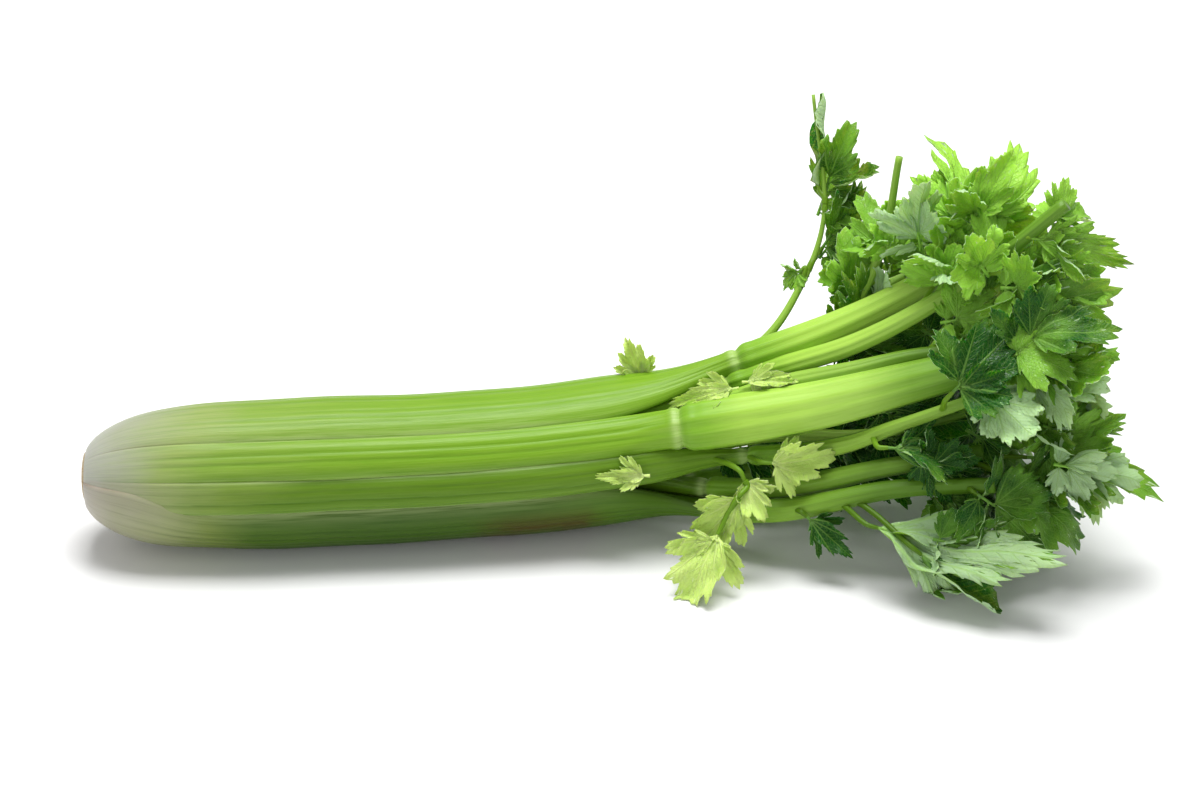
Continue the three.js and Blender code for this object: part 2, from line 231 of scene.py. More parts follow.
def capped_faces(rows, columns):
    """Faces of a closed skin of rings, whose last two points are the middles of its ends."""
    faces = grid_faces(rows, columns, True)
    first, end = rows * columns, (rows - 1) * columns
    for k in range(columns):
        n = (k + 1) % columns
        faces += [(first, n, k), (first + 1, end + k, end + n)]
    return faces


crown_points = []
crown_rim = []
crown_chance = random.Random(4)
crown_wobble = [crown_chance.uniform(-1, 1) for _ in range(9)]
for x, radius in CROWN_PROFILE:
    for turn in np.arange(CROWN_TURNS) * 2 * math.pi / CROWN_TURNS:
        wave = sum(w * math.sin((i + 2) * turn + i) for i, w in enumerate(crown_wobble)) * 0.07
        r = radius + (wave if x < 5 else 0.0) * min(1.0, radius / 9)
        uneven = wave * 0.4 if x < 2 else 0.0
        crown_points.append(axis_at(x) + np.array([uneven, r * math.cos(turn), r * math.sin(turn)]))
        crown_rim.append(1.0 if 8 < radius < 11.6 and x < 4 else 0.0)
crown_points += [axis_at(x) for x in CROWN_ENDS]
crown_faces = capped_faces(len(CROWN_PROFILE), CROWN_TURNS)
crown = mesh_piece("crown_butt", in_row(crown_points), crown_faces, {"rim": crown_rim + [0.0, 0.0]})
face_outwards(crown)
crown.data.materials.append(crown_finish())
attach(crown, "root")
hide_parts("crown")

# ---------------------------------------------------------------------------
# Stalks: seven wide ones in the outer ring, five in the second and three in the
# heart. Each is one grown piece: a broad ribbed base round the crown, a ribbed
# stalk, a pale joint, and a smooth upper stem that sends thin side stems to leaves.


def outer_radius(x):
    return BUNDLE_RADIUS * (1 - 0.6 * np.exp(-x / 20.0) - 0.05 * np.exp((1.5 - x) / 2.0))


def outer_inside(x):
    return 24.3 - 12.2 * np.exp(-(x - 1.5) / 18.0)


def second_inside(x):
    return 15.8 - 3.2 * np.exp(-(x - 10.0) / 20.0)


RINGS = {
    "outer": (1.5, outer_radius, outer_inside),
    "second": (10.0, lambda x: outer_inside(x) - 0.6, second_inside),
    "heart": (46.5, lambda x: second_inside(x) - 0.6, lambda x: 1.6 + 0 * x),
}

# name: ring, edges in degrees, start of narrowing, joint, half width and half
# thickness after the joint and at the tip, way of the upper stem, and how dark its green
# is painted: partly its own deeper green, mostly painted shade on the lower and hidden stalks
STALKS = {
    "stalk_top": ("outer", 45, 122, 226, 289, (7.8, 7.4), (5.2, 5),
                  ((331, 33, 89), (370, 35, 110), (386, 36, 121)), 0.15),
    "stalk_front": ("outer", 123, 155, 236, 263, (11.2, 8.6), (7, 6.4),
                    ((320, -5, 71), (375, -12, 91), (404, -15, 101)), 0.1),
    "stalk_lower": ("outer", 156, 183, 248, 292, (4.2, 3.9), (2.4, 2.3),
                    ((330, -9, 53), (356, -20, 70), (392, -28, 90)), 0.55),
    "stalk_wrap": ("outer", 184, 261, 225, 278, (6, 5.4), (3.6, 3.4),
                   ((306, -18, 26), (356, -28, 43), (398, -36, 50)), 0.95),
    "stalk_under": ("outer", 262, 307, 215, 270, (6.4, 5.4), (3, 2.8),
                    ((310, 34, 18), (350, 30, 17), (395, 40, 26)), 0.8),
    "stalk_rear_low": ("outer", 308, 355, 215, 268, (6.4, 5.4), (3, 2.8),
                       ((310, 60, 27), (350, 72, 28), (392, 86, 42)), 0.5),
    "stalk_rear_high": ("outer", 356, 404, 215, 275, (6.4, 5.4), (3, 2.8),
                        ((310, 58, 62), (350, 72, 82), (388, 84, 104)), 0.3),
    "inner_top": ("second", 73, 118, 215, 284, (4.9, 4.6), (3.1, 3),
                  ((300, 22, 73), (338, 16, 90), (368, 12, 110), (396, 9, 134), (426, 8, 163)), 0.2),
    "inner_front": ("second", 119, 178, 200, 258, (4.8, 4.4), (2.6, 2.5),
                    ((300, 9, 71), (338, 4, 84), (364, 3, 92), (392, 0, 98)), 0.45),
    "inner_low": ("second", 179, 262, 225, 275, (5.8, 5.2), (3.6, 3.4),
                  ((304, -8, 31), (356, -20, 50), (394, -18, 56)), 0.8),
    "inner_rear": ("second", 263, 345, 210, 262, (4.6, 4.2), (2.6, 2.4),
                   ((300, 47, 37), (345, 54, 38), (385, 68, 58)), 0.4),
    "inner_back": ("second", -14, 72, 210, 262, (2.0, 1.9), (0.8, 0.8),
                   ((298, 47, 72), (318, 66, 92), (329, 84, 118), (324, 108, 168)), 0.6),
    "heart_top": ("heart", 30, 146, 220, 268, (3.6, 3.4), (1.7, 1.6),
                  ((300, 36, 56), (334, 44, 84), (352, 52, 116), (359, 56, 162)), 0.1),
    "heart_front": ("heart", 150, 266, 220, 268, (3.6, 3.4), (2.2, 2.2),
                    ((300, 16, 44), (345, 10, 48), (396, -4, 70)), 0.3),
    "heart_rear": ("heart", 270, 386, 220, 268, (3.6, 3.4), (2.2, 2.2),
                   ((300, 38, 44), (345, 50, 62), (388, 62, 88)), 0.0),
}


def smooth_step(value, low, high):
    t = np.clip((value - low) / (high - low), 0.0, 1.0)
    return t * t * (3 - 2 * t)


def smooth_way(points, shares):
    """Points on a smooth curve through control points, evenly spread over its spans."""
    points = [np.asarray(p, float) for p in points]
    points = [2 * points[0] - points[1]] + points + [2 * points[-1] - points[-2]]
    found = []
    for share in shares:
        place = share * (len(points) - 3)
        span = min(int(place), len(points) - 4)
        w = place - span
        p0, p1, p2, p3 = points[span:span + 4]
        d0, d1, d2 = (max(np.linalg.norm(b - a) ** 0.5, 1e-4) for a, b in ((p0, p1), (p1, p2), (p2, p3)))
        t1 = ((p1 - p0) / d0 - (p2 - p0) / (d0 + d1) + (p2 - p1) / d1) * d1
        t2 = ((p2 - p1) / d1 - (p3 - p1) / (d1 + d2) + (p3 - p2) / d2) * d1
        found.append(p1 + t1 * w + (-3 * p1 + 3 * p2 - 2 * t1 - t2) * w ** 2
                     + (2 * p1 - 2 * p2 + t1 + t2) * w ** 3)
    return np.array(found)


def bundle_middle(stalk, x):
    """Middle of a stalk's section inside the bundle."""
    _, outside, inside = RINGS[stalk[0]]
    radius = (outside(x) + inside(x)) / 2
    turn = math.radians((stalk[1] + stalk[2]) / 2)
    return axis_at(x) + radius * np.array([0.0, math.cos(turn), math.sin(turn)])


def upper_points(stalk):
    return [bundle_middle(stalk, stalk[3]), bundle_middle(stalk, (stalk[3] + stalk[4]) / 2), *stalk[7]]


OUTER_SIDE = 61
INNER_SIDE = 15
RIB_PITCH = 3.7
RIB_HEIGHT = 0.42
BASE_WRAP = {"stalk_wrap": (20.0, 1.5)}


def stalk_section_places():
    """Places round a section: across from -1 to 1, and +1 outside or -1 inside."""
    even = np.linspace(-1, 1, OUTER_SIDE)
    front = np.sin(even * math.pi / 2) * 0.55 + even * 0.45
    back = np.linspace(1, -1, INNER_SIDE + 2)[1:-1]
    return np.concatenate([front, back]), np.concatenate([np.ones(OUTER_SIDE), -np.ones(INNER_SIDE)])


def joint_swell(gap):
    """How far a stem stands out near its joint: a flared rim, a crease, then a bulge."""
    return (0.5 * math.exp(-((gap + 2.4) / 2.0) ** 2) - 0.8 * math.exp(-((gap - 0.8) / 0.8) ** 2)
            + 0.9 * math.exp(-((gap - 4.5) / 3) ** 2))


def stalk_skin(name, stalk, chance):
    """Points and named values of a stalk, ring by ring from the butt to its tip."""
    ring, start_turn, end_turn, narrow, joint, joint_size, tip_size, _, green_and_shade_depth = stalk
    wrap_turn, wrap_lift = BASE_WRAP.get(name, (0.0, 0.0))
    start, outside, inside = RINGS[ring]
    across, side = stalk_section_places()
    width = math.radians(end_turn - start_turn) * (outside(150.0) + inside(150.0)) / 2
    ribs = max(3, round(width / RIB_PITCH))
    fullness = 3.4 if width > 24 else 2.5
    rib_gain = np.array([chance.choice((0.35, 0.6, 0.8, 1.0, 1.25)) for _ in range(ribs + 3)])
    drift = [chance.uniform(0, 6.28) for _ in range(6)]
    rib_place = across * 0.5 + 0.5 + 0.03 * np.sin(across * 5 + drift[4])
    middle_turn = math.radians((start_turn + end_turn) / 2)
    radial = np.array([0.0, math.cos(middle_turn), math.sin(middle_turn)])
    control = upper_points(stalk)
    coarse = np.linspace(0, 1, 84)
    joint_share = coarse[np.argmin(np.abs(smooth_way(control, coarse)[:, 0] - joint))]
    shares = np.unique(np.concatenate([coarse, np.clip(joint_share + np.linspace(-0.06, 0.07, 34), 0, 1)]))
    upper = smooth_way(control, shares)
    ahead = smooth_way(control, np.minimum(shares + 0.004, 1.0))
    ahead -= smooth_way(control, np.maximum(shares - 0.004, 0.0))
    ahead /= np.linalg.norm(ahead, axis=1)[:, None]
    lower = np.concatenate([start + 0.7 * np.arange(0, 30), np.arange(start + 22, narrow, 2.2)])
    rows, kept = [], {key: [] for key in ("reach", "joint", "edge", "groove", "round_grain", "past", "lit")}

    def turns_at(x):
        begin = start_turn - wrap_turn * math.exp(-(x / 42.0) ** 4)
        return np.radians((begin + end_turn) / 2 + across * (end_turn - begin) / 2)

    def rib_lift(x, blend, beyond):
        place = rib_place * ribs + 0.1 * math.sin(x / 41 + drift[0])
        ridge = np.abs(np.cos(math.pi * place)) ** 0.9
        strength = rib_gain[np.clip(np.floor(place + 0.5), 0, ribs + 2).astype(int)]
        fade = smooth_step(x, 4, 60) * (1 - 0.82 * beyond)
        soft = np.clip(1 - np.abs(across) ** 6, 0, 1)
        lift = RIB_HEIGHT * (ridge - 0.75) * strength * fade * soft * (1 - 0.45 * blend)
        # The second value, how far a point lies down the groove between two ribs, carries painted shade in
        # the grooves.
        return np.where(side > 0, lift, 0.0), np.where(side > 0, (1 - ridge) * strength * fade, 0.0)

    def bundle_ring(x):
        out_r, in_r = outside(x), inside(x)
        middle = (out_r + in_r) / 2
        turn = turns_at(x) + across * 0.9 / middle
        power = fullness + 16 * math.exp(-(x / 52.0) ** 2)
        round_off = np.power(np.clip(1 - np.abs(across) ** power, 0, 1), 0.5)
        half = (out_r - in_r) / 2 * (0.1 + 0.9 * round_off)
        swell = 0.35 * math.sin(x / 23 + drift[1]) + 0.2 * math.sin(x / 9.5 + drift[2])
        swell *= smooth_step(x, 20, 60)
        swell += wrap_lift * math.exp(-(x / 48.0) ** 4)
        radius = middle + side * half + np.where(side > 0, swell * (0.4 + 0.6 * round_off), 0.0)
        centre = axis_at(x)
        return np.stack([np.full_like(turn, x), centre[1] + radius * np.cos(turn),
                         centre[2] + radius * np.sin(turn)], axis=-1), turn

    def note(points, turn, x, blend, beyond, at_joint):
        lift, groove = rib_lift(x, blend, beyond)
        out = np.stack([np.zeros_like(turn), np.cos(turn), np.sin(turn)], axis=-1)
        rows.append(points + out * lift[:, None])
        kept["reach"].append(np.full(len(across), x))
        kept["joint"].append(np.full(len(across), at_joint))
        kept["edge"].append(np.abs(across) ** 9)
        kept["past"].append(np.full(len(across), x - joint))
        kept["lit"].append(np.sin(turn))
        kept["groove"].append(groove)
        kept["round_grain"].append(across * width / 2)

    for x in lower:
        points, turn = bundle_ring(x)
        note(points, turn, x, 0.0, 0.0, 0.0)
    for share, centre, way in zip(shares, upper, ahead):
        x = centre[0] if share < joint_share + 0.2 else max(centre[0], joint + 20)
        blend = float(smooth_step(x, narrow, joint)) if share < joint_share else 1.0
        beyond = float(smooth_step(x, joint - 1, joint + 1.5)) if share < joint_share + 0.1 else 1.0
        along = float(smooth_step(share, 0.35, 1.0))
        near = abs(share - joint_share) < 0.12
        swell = joint_swell(x - joint) if near else 0.0
        neck = 0.78 + 0.22 * float(smooth_step(x, joint - 1, joint + 12)) if near else 1.0
        neck = 0.78 if x < joint - 1 else neck
        wide = (joint_size[0] + (tip_size[0] - joint_size[0]) * along) * neck + swell
        thick = (joint_size[1] + (tip_size[1] - joint_size[1]) * along) * neck + swell
        outward = radial - way * radial.dot(way)
        outward /= np.linalg.norm(outward)
        sideways = np.cross(way, outward)
        angle = np.where(side > 0, across * math.pi / 2, math.pi - across * math.pi / 2)
        ripple = 1 + 0.035 * np.cos(angle * 9 + drift[3]) * (1 - along * 0.5)
        stem = (centre + np.outer(np.sin(angle) * wide * ripple, sideways)
                + np.outer(np.cos(angle) * thick * ripple, outward))
        turn = angle + middle_turn
        if blend < 1:
            wide_points, wide_turn = bundle_ring(min(x, joint))
            stem = wide_points * (1 - blend) + stem * blend
            turn = wide_turn * (1 - blend) + turn * blend
        at_joint = math.exp(-((x - joint + 1.0) / 2.1) ** 2) if near else 0.0
        note(stem, turn, x, blend, beyond, at_joint)
    points = np.concatenate(rows)
    points[:, 2] = np.maximum(points[:, 2], 0.0)
    values = {key: np.concatenate(numbers) for key, numbers in kept.items()}
    values["green_and_shade_depth"] = np.full(len(points), float(green_and_shade_depth))
    return points, values, len(rows), len(across)


def stalk_finish():
    """Fresh stalk: cream at the butt to green, fine long fibres, pale joint rings, painted shade on the lower
    stalks and in the rib grooves, pale edges that are partly painted highlight, and painted brownish shade
    under the lowest stalk.
    """
    material, nodes, shader, place = new_finish("celery stalk")
    reach, joint, edge = nodes.value("reach"), nodes.value("joint"), nodes.value("edge")
    groove, green_and_shade_depth, across = nodes.value("groove"), nodes.value("green_and_shade_depth"), nodes.value("round_grain")
    grain_place = nodes.add("ShaderNodeCombineXYZ")
    nodes.put(nodes.math("MULTIPLY", reach, 0.035), grain_place.inputs[0])
    nodes.put(nodes.math("MULTIPLY", across, 1.6), grain_place.inputs[1])
    nodes.put(nodes.math("MULTIPLY", green_and_shade_depth, 9.0), grain_place.inputs[2])
    fibres = nodes.noise(grain_place.outputs[0], 1.0, 4.0, 0.6)
    blotch = nodes.noise(place, 38.0, 3.0)
    pores = nodes.noise(place, 2600.0, 2.0)
    past, lit = nodes.value("past"), nodes.value("lit")
    wander = nodes.math("MULTIPLY_ADD", nodes.math("SUBTRACT", blotch, 0.5), 22.0, reach)
    wander = nodes.math("MULTIPLY", wander, nodes.span(lit, -0.2, 1.0, 1.75, 1.0))
    where = nodes.math("DIVIDE", wander, 400.0)
    fresh = nodes.ramp(where, [
        (0.0, paint(180, 180, 176)), (0.05, paint(160, 164, 142)), (0.13, paint(142, 161, 86)),
        (0.19, paint(124, 157, 54)), (0.36, paint(121, 162, 38)), (0.56, paint(122, 166, 34)),
        (0.75, paint(128, 172, 40))])
    # Darker olive greens for the lower and hidden stalks: a little of it their own deeper green, most of it
    # painted shade where they lie low and behind.
    deep = nodes.ramp(where, [
        (0.0, paint(180, 172, 164)), (0.08, paint(160, 158, 134)), (0.16, paint(146, 152, 108)),
        (0.25, paint(112, 128, 60)), (0.34, paint(62, 92, 12)), (0.6, paint(48, 80, 3)),
        (0.9, paint(58, 88, 5)), (1.0, paint(70, 106, 10))])
    colour = nodes.mix(green_and_shade_depth, fresh, deep)
    stem_share = nodes.math("DIVIDE", past, 120.0)
    # Upper stem past the joint: a darker green by the joint, pale in the middle, and darker again towards its
    # end, where the darkening is painted shadow of the leaves above it.
    petiole = nodes.ramp(stem_share, [
        (0.0, paint(112, 160, 36)), (0.1, paint(128, 176, 44)), (0.24, paint(164, 204, 76)),
        (0.45, paint(172, 212, 86)), (0.66, paint(162, 202, 82)), (0.84, paint(116, 158, 48)),
        (1.0, paint(96, 140, 38))])
    # Upper stems of the lower and hidden stalks: a darker green, partly painted shade.
    deeper_shaded_petiole = nodes.ramp(stem_share, [
        (0.0, paint(112, 156, 40)), (0.28, paint(126, 168, 50)), (0.6, paint(84, 124, 28))])
    petiole = nodes.mix(green_and_shade_depth, petiole, deeper_shaded_petiole)
    colour = nodes.mix(nodes.span(past, 0.0, 2.0), colour, petiole)
    streak = nodes.math("MULTIPLY_ADD", green_and_shade_depth, -0.1, 0.17)
    streak = nodes.math("MULTIPLY", nodes.span(fibres, 0.42, 0.75), streak)
    colour = nodes.mix(streak, colour, nodes.mix(green_and_shade_depth, paint(182, 212, 104), paint(120, 142, 66)))
    # Darker fibre streaks, and painted shade in the grooves between the ribs, darker still on the lower and
    # hidden stalks.
    shade = nodes.math("MULTIPLY", nodes.span(fibres, 0.5, 0.25), 0.25)
    groove_shade = nodes.math("ADD", shade, nodes.math("MULTIPLY", groove, 0.4), clamp=True)
    colour = nodes.mix(groove_shade, colour, nodes.mix(green_and_shade_depth, paint(92, 140, 22), paint(36, 66, 2)))
    # Pale thin lines along the stalk edges: partly their own whitish edges, partly painted highlight where
    # the edges catch the light.
    pale_edge_and_highlight = nodes.math("MULTIPLY", nodes.math("MULTIPLY", edge, nodes.span(fibres, 0.3, 0.55)), 0.75)
    pale_edge_and_highlight = nodes.math("MULTIPLY", pale_edge_and_highlight, nodes.span(reach, 30.0, 60.0))
    pale_edge_and_highlight = nodes.math("MULTIPLY", pale_edge_and_highlight, nodes.span(reach, 250.0, 190.0))
    colour = nodes.mix(pale_edge_and_highlight, colour, paint(186, 202, 142))
    ragged = nodes.math("MULTIPLY", joint, nodes.span(fibres, 0.25, 0.6, 0.3, 0.75))
    colour = nodes.mix(nodes.math("MULTIPLY", ragged, 0.75), colour, paint(192, 216, 140))
    dry = nodes.math("MULTIPLY", nodes.span(reach, 62.0, 4.0), nodes.span(blotch, 0.4, 0.6))
    dry = nodes.math("MULTIPLY", dry, nodes.span(edge, 0.3, 1.0))
    colour = nodes.mix(nodes.math("MULTIPLY", dry, 0.6), colour, paint(128, 104, 84))
    # Painted brownish shade in blotches on the underside of the lowest stalk, where it lies against the
    # floor.
    brown_under_shade = nodes.math("MULTIPLY", nodes.span(reach, 150.0, 185.0), nodes.span(reach, 236.0, 222.0))
    brown_under_shade = nodes.math("MULTIPLY", brown_under_shade, nodes.span(green_and_shade_depth, 0.85, 0.95))
    brown_under_shade = nodes.math("MULTIPLY", brown_under_shade, nodes.span(lit, -0.2, -0.6))
    brown_under_shade = nodes.math("MULTIPLY", brown_under_shade, nodes.span(blotch, 0.35, 0.55))
    colour = nodes.mix(nodes.math("MULTIPLY", brown_under_shade, 0.75), colour, paint(74, 44, 10))
    nodes.put(colour, shader.inputs["Base Color"])
    nodes.put(nodes.span(fibres, 0.3, 0.7, 0.42, 0.3), shader.inputs["Roughness"])
    shader.inputs["Subsurface Weight"].default_value = 0.12
    shader.inputs["Subsurface Radius"].default_value = (0.6, 1.0, 0.3)
    shader.inputs["Subsurface Scale"].default_value = 0.002
    shader.inputs["Specular IOR Level"].default_value = 0.2
    fine = nodes.math("MULTIPLY_ADD", pores, 0.25, fibres)
    bump(nodes, shader, fine, 0.35, 0.0004)
    return material


def new_tree(name, inputs):
    """An empty geometry tree with named inputs: its node helper and its input node."""
    tree = bpy.data.node_groups.new(name, "GeometryNodeTree")
    for key, kind in {"Geometry": "Geometry", **inputs, "Skin": "Material"}.items():
        tree.interface.new_socket(key, in_out="INPUT", socket_type="NodeSocket" + kind)
    tree.interface.new_socket("Geometry", in_out="OUTPUT", socket_type="NodeSocketGeometry")
    nodes = Nodes(tree)
    return nodes, nodes.add("NodeGroupInput")


def end_tree(nodes, asked, shape):
    """Makes the shape real, puts its skin on and gives it out."""
    real = nodes.add("GeometryNodeRealizeInstances")
    nodes.put(shape, real.inputs[0])
    skin = nodes.add("GeometryNodeSetMaterial")
    nodes.put(real.outputs[0], skin.inputs["Geometry"])
    nodes.put(asked.outputs["Skin"], skin.inputs["Material"])
    nodes.put(skin.outputs[0], nodes.add("NodeGroupOutput").inputs[0])
    return nodes.tree


def stem_tree():
    """Geometry nodes: round stems of a given thickness along the lines of a mesh."""
    nodes, asked = new_tree("side stems", {"Thickness Gain": "Float", "Sides": "Int"})
    lines = nodes.add("GeometryNodeMeshToCurve")
    nodes.put(asked.outputs["Geometry"], lines.inputs[0])
    section = nodes.add("GeometryNodeCurvePrimitiveCircle")
    nodes.put(asked.outputs["Sides"], section.inputs["Resolution"])
    section.inputs["Radius"].default_value = 1.0
    tube = nodes.add("GeometryNodeCurveToMesh")
    nodes.put(lines.outputs[0], tube.inputs["Curve"])
    nodes.put(section.outputs[0], tube.inputs["Profile Curve"])
    thickness = nodes.math("MULTIPLY", nodes.stored("thickness"), asked.outputs["Thickness Gain"])
    nodes.put(thickness, tube.inputs["Scale"])
    tube.inputs["Fill Caps"].default_value = True
    return end_tree(nodes, asked, tube.outputs[0])


def grown(piece, tree, settings):
    """Runs a geometry tree on a piece and keeps the result as its plain mesh."""
    modifier = piece.modifiers.new(tree.name, "NODES")
    modifier.node_group = tree
    for item in tree.interface.items_tree:
        if item.in_out == "INPUT" and item.name in settings:
            modifier[item.identifier] = settings[item.name]
    piece.update_tag()
    bpy.context.view_layer.update()
    result = bpy.data.meshes.new_from_object(piece.evaluated_get(bpy.context.evaluated_depsgraph_get()))
    piece.modifiers.clear()
    piece.data = result
    piece.data.polygons.foreach_set("use_smooth", [True] * len(result.polygons))
    return piece


def stem_lines(name, ways, values):
    """A mesh of lines, one for each way, with named values at its points."""
    points, lines, sizes = [], [], []
    for way, thickness in ways:
        lines += [(len(points) + i, len(points) + i + 1) for i in range(len(way) - 1)]
        points += [tuple(p) for p in in_row(way)]
        sizes += [t * MM for t in thickness]
    mesh = bpy.data.meshes.new(name)
    mesh.from_pydata(points, lines, [])
    for key, numbers in {**values, "thickness": sizes}.items():
        kept = mesh.attributes.new(key, "FLOAT", "POINT")
        kept.data.foreach_set("value", np.broadcast_to(np.asarray(numbers, np.float32), len(points)).copy())
    piece = bpy.data.objects.new(name, mesh)
    bpy.context.collection.objects.link(piece)
    return piece


def joined(pieces, name):
    """Several pieces as one object."""
    with bpy.context.temp_override(active_object=pieces[0], object=pieces[0], selected_objects=pieces,
                                   selected_editable_objects=pieces):
        bpy.ops.object.join()
    pieces[0].name = name
    pieces[0].data.name = name
    return pieces[0]


# Leaves: parent stalk, foot, tip, way the upper face looks, width and cupping. Feet are
# where the side stems end, so the leaf section uses this table too.
UNDER_SHOWN = (0.1, 0.87, -0.4)
TO_FRONT = (0, -0.87, 0.5)
TO_BACK = (0.2, 0.9, 0.4)
LEAVES = {
    "leaf_back_edge": ("inner_back", (327, 92, 130), (324, 109, 172), (-1, -0.25, -0.1), 26, -1.6),
    "leaf_back_high": ("inner_back", (330, 93, 126), (338, 103, 161), TO_FRONT, 27, 0.5),
    "leaf_back_low": ("inner_back", (329, 84, 103), (347, 92, 131), TO_FRONT, 26, 0.4),
    "leaf_back_small": ("inner_back", (319, 70, 99), (308, 68, 92), TO_FRONT, 17, 0.3),
    "leaf_rear_pale": ("heart_top", (340, 60, 94), (336, 62, 124), TO_FRONT, 40, 0.4),
    "leaf_rear_mid": ("heart_top", (356, 56, 108), (345, 66, 136), TO_FRONT, 34, 0.4),
    "leaf_rear_tip": ("heart_top", (366, 58, 112), (374, 62, 146), TO_FRONT, 37, 0.4),
    "leaf_crest_left": ("stalk_top", (384, 44, 128), (386, 56, 168), TO_FRONT, 40, 0.6),
    "leaf_crest_right": ("stalk_top", (398, 36, 136), (409, 40, 170), TO_FRONT, 37, 0.6),
    "leaf_crest_mid": ("inner_top", (380, 30, 122), (396, 26, 152), TO_FRONT, 40, 0.5),
    "leaf_hook": ("inner_top", (412, 6, 148), (456, 2, 139), TO_FRONT, 34, 0.4),
    "leaf_right_high": ("inner_top", (408, 2, 130), (447, -6, 112), TO_FRONT, 45, 0.4),
    "leaf_right_crest": ("inner_top", (420, 12, 152), (440, 22, 158), TO_FRONT, 29, 0.4),
    "leaf_dark_high": ("inner_front", (392, 12, 118), (432, -14, 118), TO_FRONT, 50, 0.5),
    "leaf_dark_mid": ("stalk_front", (404, -18, 108), (438, -20, 128), TO_FRONT, 40, 0.5),
    "leaf_dark_right": ("stalk_front", (414, -18, 102), (448, -22, 90), TO_FRONT, 45, 0.5),
    "leaf_front_dark": ("stalk_lower", (378, -32, 94), (401, -32, 124), TO_FRONT, 42, 0.5),
    "leaf_front_pale": ("stalk_lower", (394, -32, 92), (412, -42, 76), UNDER_SHOWN, 32, 0.3),
    "leaf_right_mid": ("heart_front", (410, -4, 82), (447, 2, 94), TO_FRONT, 37, 0.4),
    "leaf_tip_long": ("inner_low", (414, -16, 52), (472, -25, 53), TO_FRONT, 48, 0.5),
    "leaf_tip_low": ("inner_low", (406, -24, 46), (442, -32, 26), TO_FRONT, 40, 0.5),
    "leaf_tip_high": ("heart_front", (408, -14, 72), (456, -18, 66), TO_FRONT, 40, 0.5),
    "leaf_low_large": ("stalk_wrap", (348, -42, 32), (425, -62, 17), (-0.1, 0.45, -0.8), 48, 0.3),
    "leaf_low_narrow": ("stalk_wrap", (366, -54, 26), (399, -67, 3), (0.2, -0.5, 0.8), 18, 0.4),
    "leaf_low_dark": ("stalk_wrap", (318, -28, 29), (338, -36, 14), TO_FRONT, 24, 0.4),
    "leaf_low_right": ("stalk_wrap", (390, -40, 48), (424, -46, 25), TO_FRONT, 45, 0.5),
    "leaf_crinkled": ("stalk_lower", (352, -28, 64), (396, -36, 66), (0, -0.5, 0.87), 29, 0.5),
    "leaf_under_left": ("stalk_under", (372, 36, 20), (412, 16, 5), (0, 0, 1), 45, 0.4),
    "leaf_under_right": ("stalk_under", (398, 50, 28), (446, 56, 8), (0, 0, 1), 48, 0.4),
    "leaf_floor_rear": ("stalk_rear_low", (378, 94, 46), (418, 112, 4), (0.2, 0.6, 0.8), 48, 0.4),
    "leaf_rear_right": ("stalk_rear_low", (396, 92, 54), (440, 92, 44), (0.2, 0.6, 0.8), 45, 0.4),
    "leaf_rear_high": ("stalk_rear_high", (380, 84, 100), (404, 104, 128), (0.3, 0.8, 0.5), 45, 0.4),
    "leaf_rear_out": ("stalk_rear_high", (390, 86, 104), (432, 86, 106), (0.1, 0.5, 0.9), 45, 0.4),
    "leaf_heart_high": ("heart_rear", (392, 62, 90), (430, 50, 84), (0, 0, 1), 45, 0.4),
    "leaf_heart_low": ("inner_rear", (388, 74, 72), (432, 64, 62), (0, 0, 1), 42, 0.4),
    "young_spray_top": ("stalk_lower", (291, -21, 43), (299, -28, 29), TO_FRONT, 19, 0.3),
    "young_spray_mid": ("stalk_lower", (288, -27, 38), (273, -34, 17), TO_FRONT, 22, 0.3),
    "young_spray_low": ("stalk_lower", (279, -35, 24), (264, -57, 3), (0, -0.7, 0.7), 27, 0.3),
    "young_top": ("inner_top", (247, 31, 65), (241, 31, 80), TO_FRONT, 15, 0.3),
    "young_gap": ("inner_front", (288, 6, 74), (266, 4, 71), (0, -0.6, 0.8), 10, 0.3),
    "young_joint": ("inner_top", (291, 8, 76), (310, 5, 79), (0, -0.6, 0.8), 11, 0.3),
    "young_under": ("stalk_lower", (303, -16, 49), (325, -22, 50), TO_FRONT, 13, 0.3),
    "young_scrap": ("stalk_lower", (249, -15, 42), (232, -17, 43), TO_FRONT, 9, 0.2),
}
# side stems: which follow on from another leaf, and leaves whose own stem is hidden
FORK_RADIUS = 1.35
FORK_SHARES = np.linspace(0, 1, 18)
FOLLOWS = {"young_spray_mid": "young_spray_top", "young_spray_low": "young_spray_mid"}
TUCKED_IN = ("young_scrap", "young_top", "young_gap", "young_joint")


def fork_way(upper, leaf_name):
    """The way of a side stem, from a stalk's upper stem to the foot of its leaf."""
    foot, tip = (np.array(p, float) for p in LEAVES[leaf_name][1:3])
    line = smooth_way(upper, np.linspace(0.2, 1, 61))
    aside = np.linalg.norm(line - foot, axis=1)
    nearest = int(np.argmin(aside))
    behind = np.linalg.norm(line - line[nearest], axis=1)
    before = [i for i in range(nearest + 1) if behind[i] >= 1.5 * aside[nearest]]
    first = before[-1] if before else 0
    start, ahead = line[first], line[min(first + 1, 60)] - line[max(first - 1, 0)]
    if leaf_name in FOLLOWS:
        start, end = (np.array(p, float) for p in LEAVES[FOLLOWS[leaf_name]][1:3])
        ahead = end - start
    ahead /= np.linalg.norm(ahead)
    gap = np.linalg.norm(foot - start)
    leave = (tip - foot) / np.linalg.norm(tip - foot)
    bends = [start + ahead * gap * 0.3, foot - leave * min(gap * 0.22, 5.0)]
    return smooth_way([start, *bends, foot], FORK_SHARES)


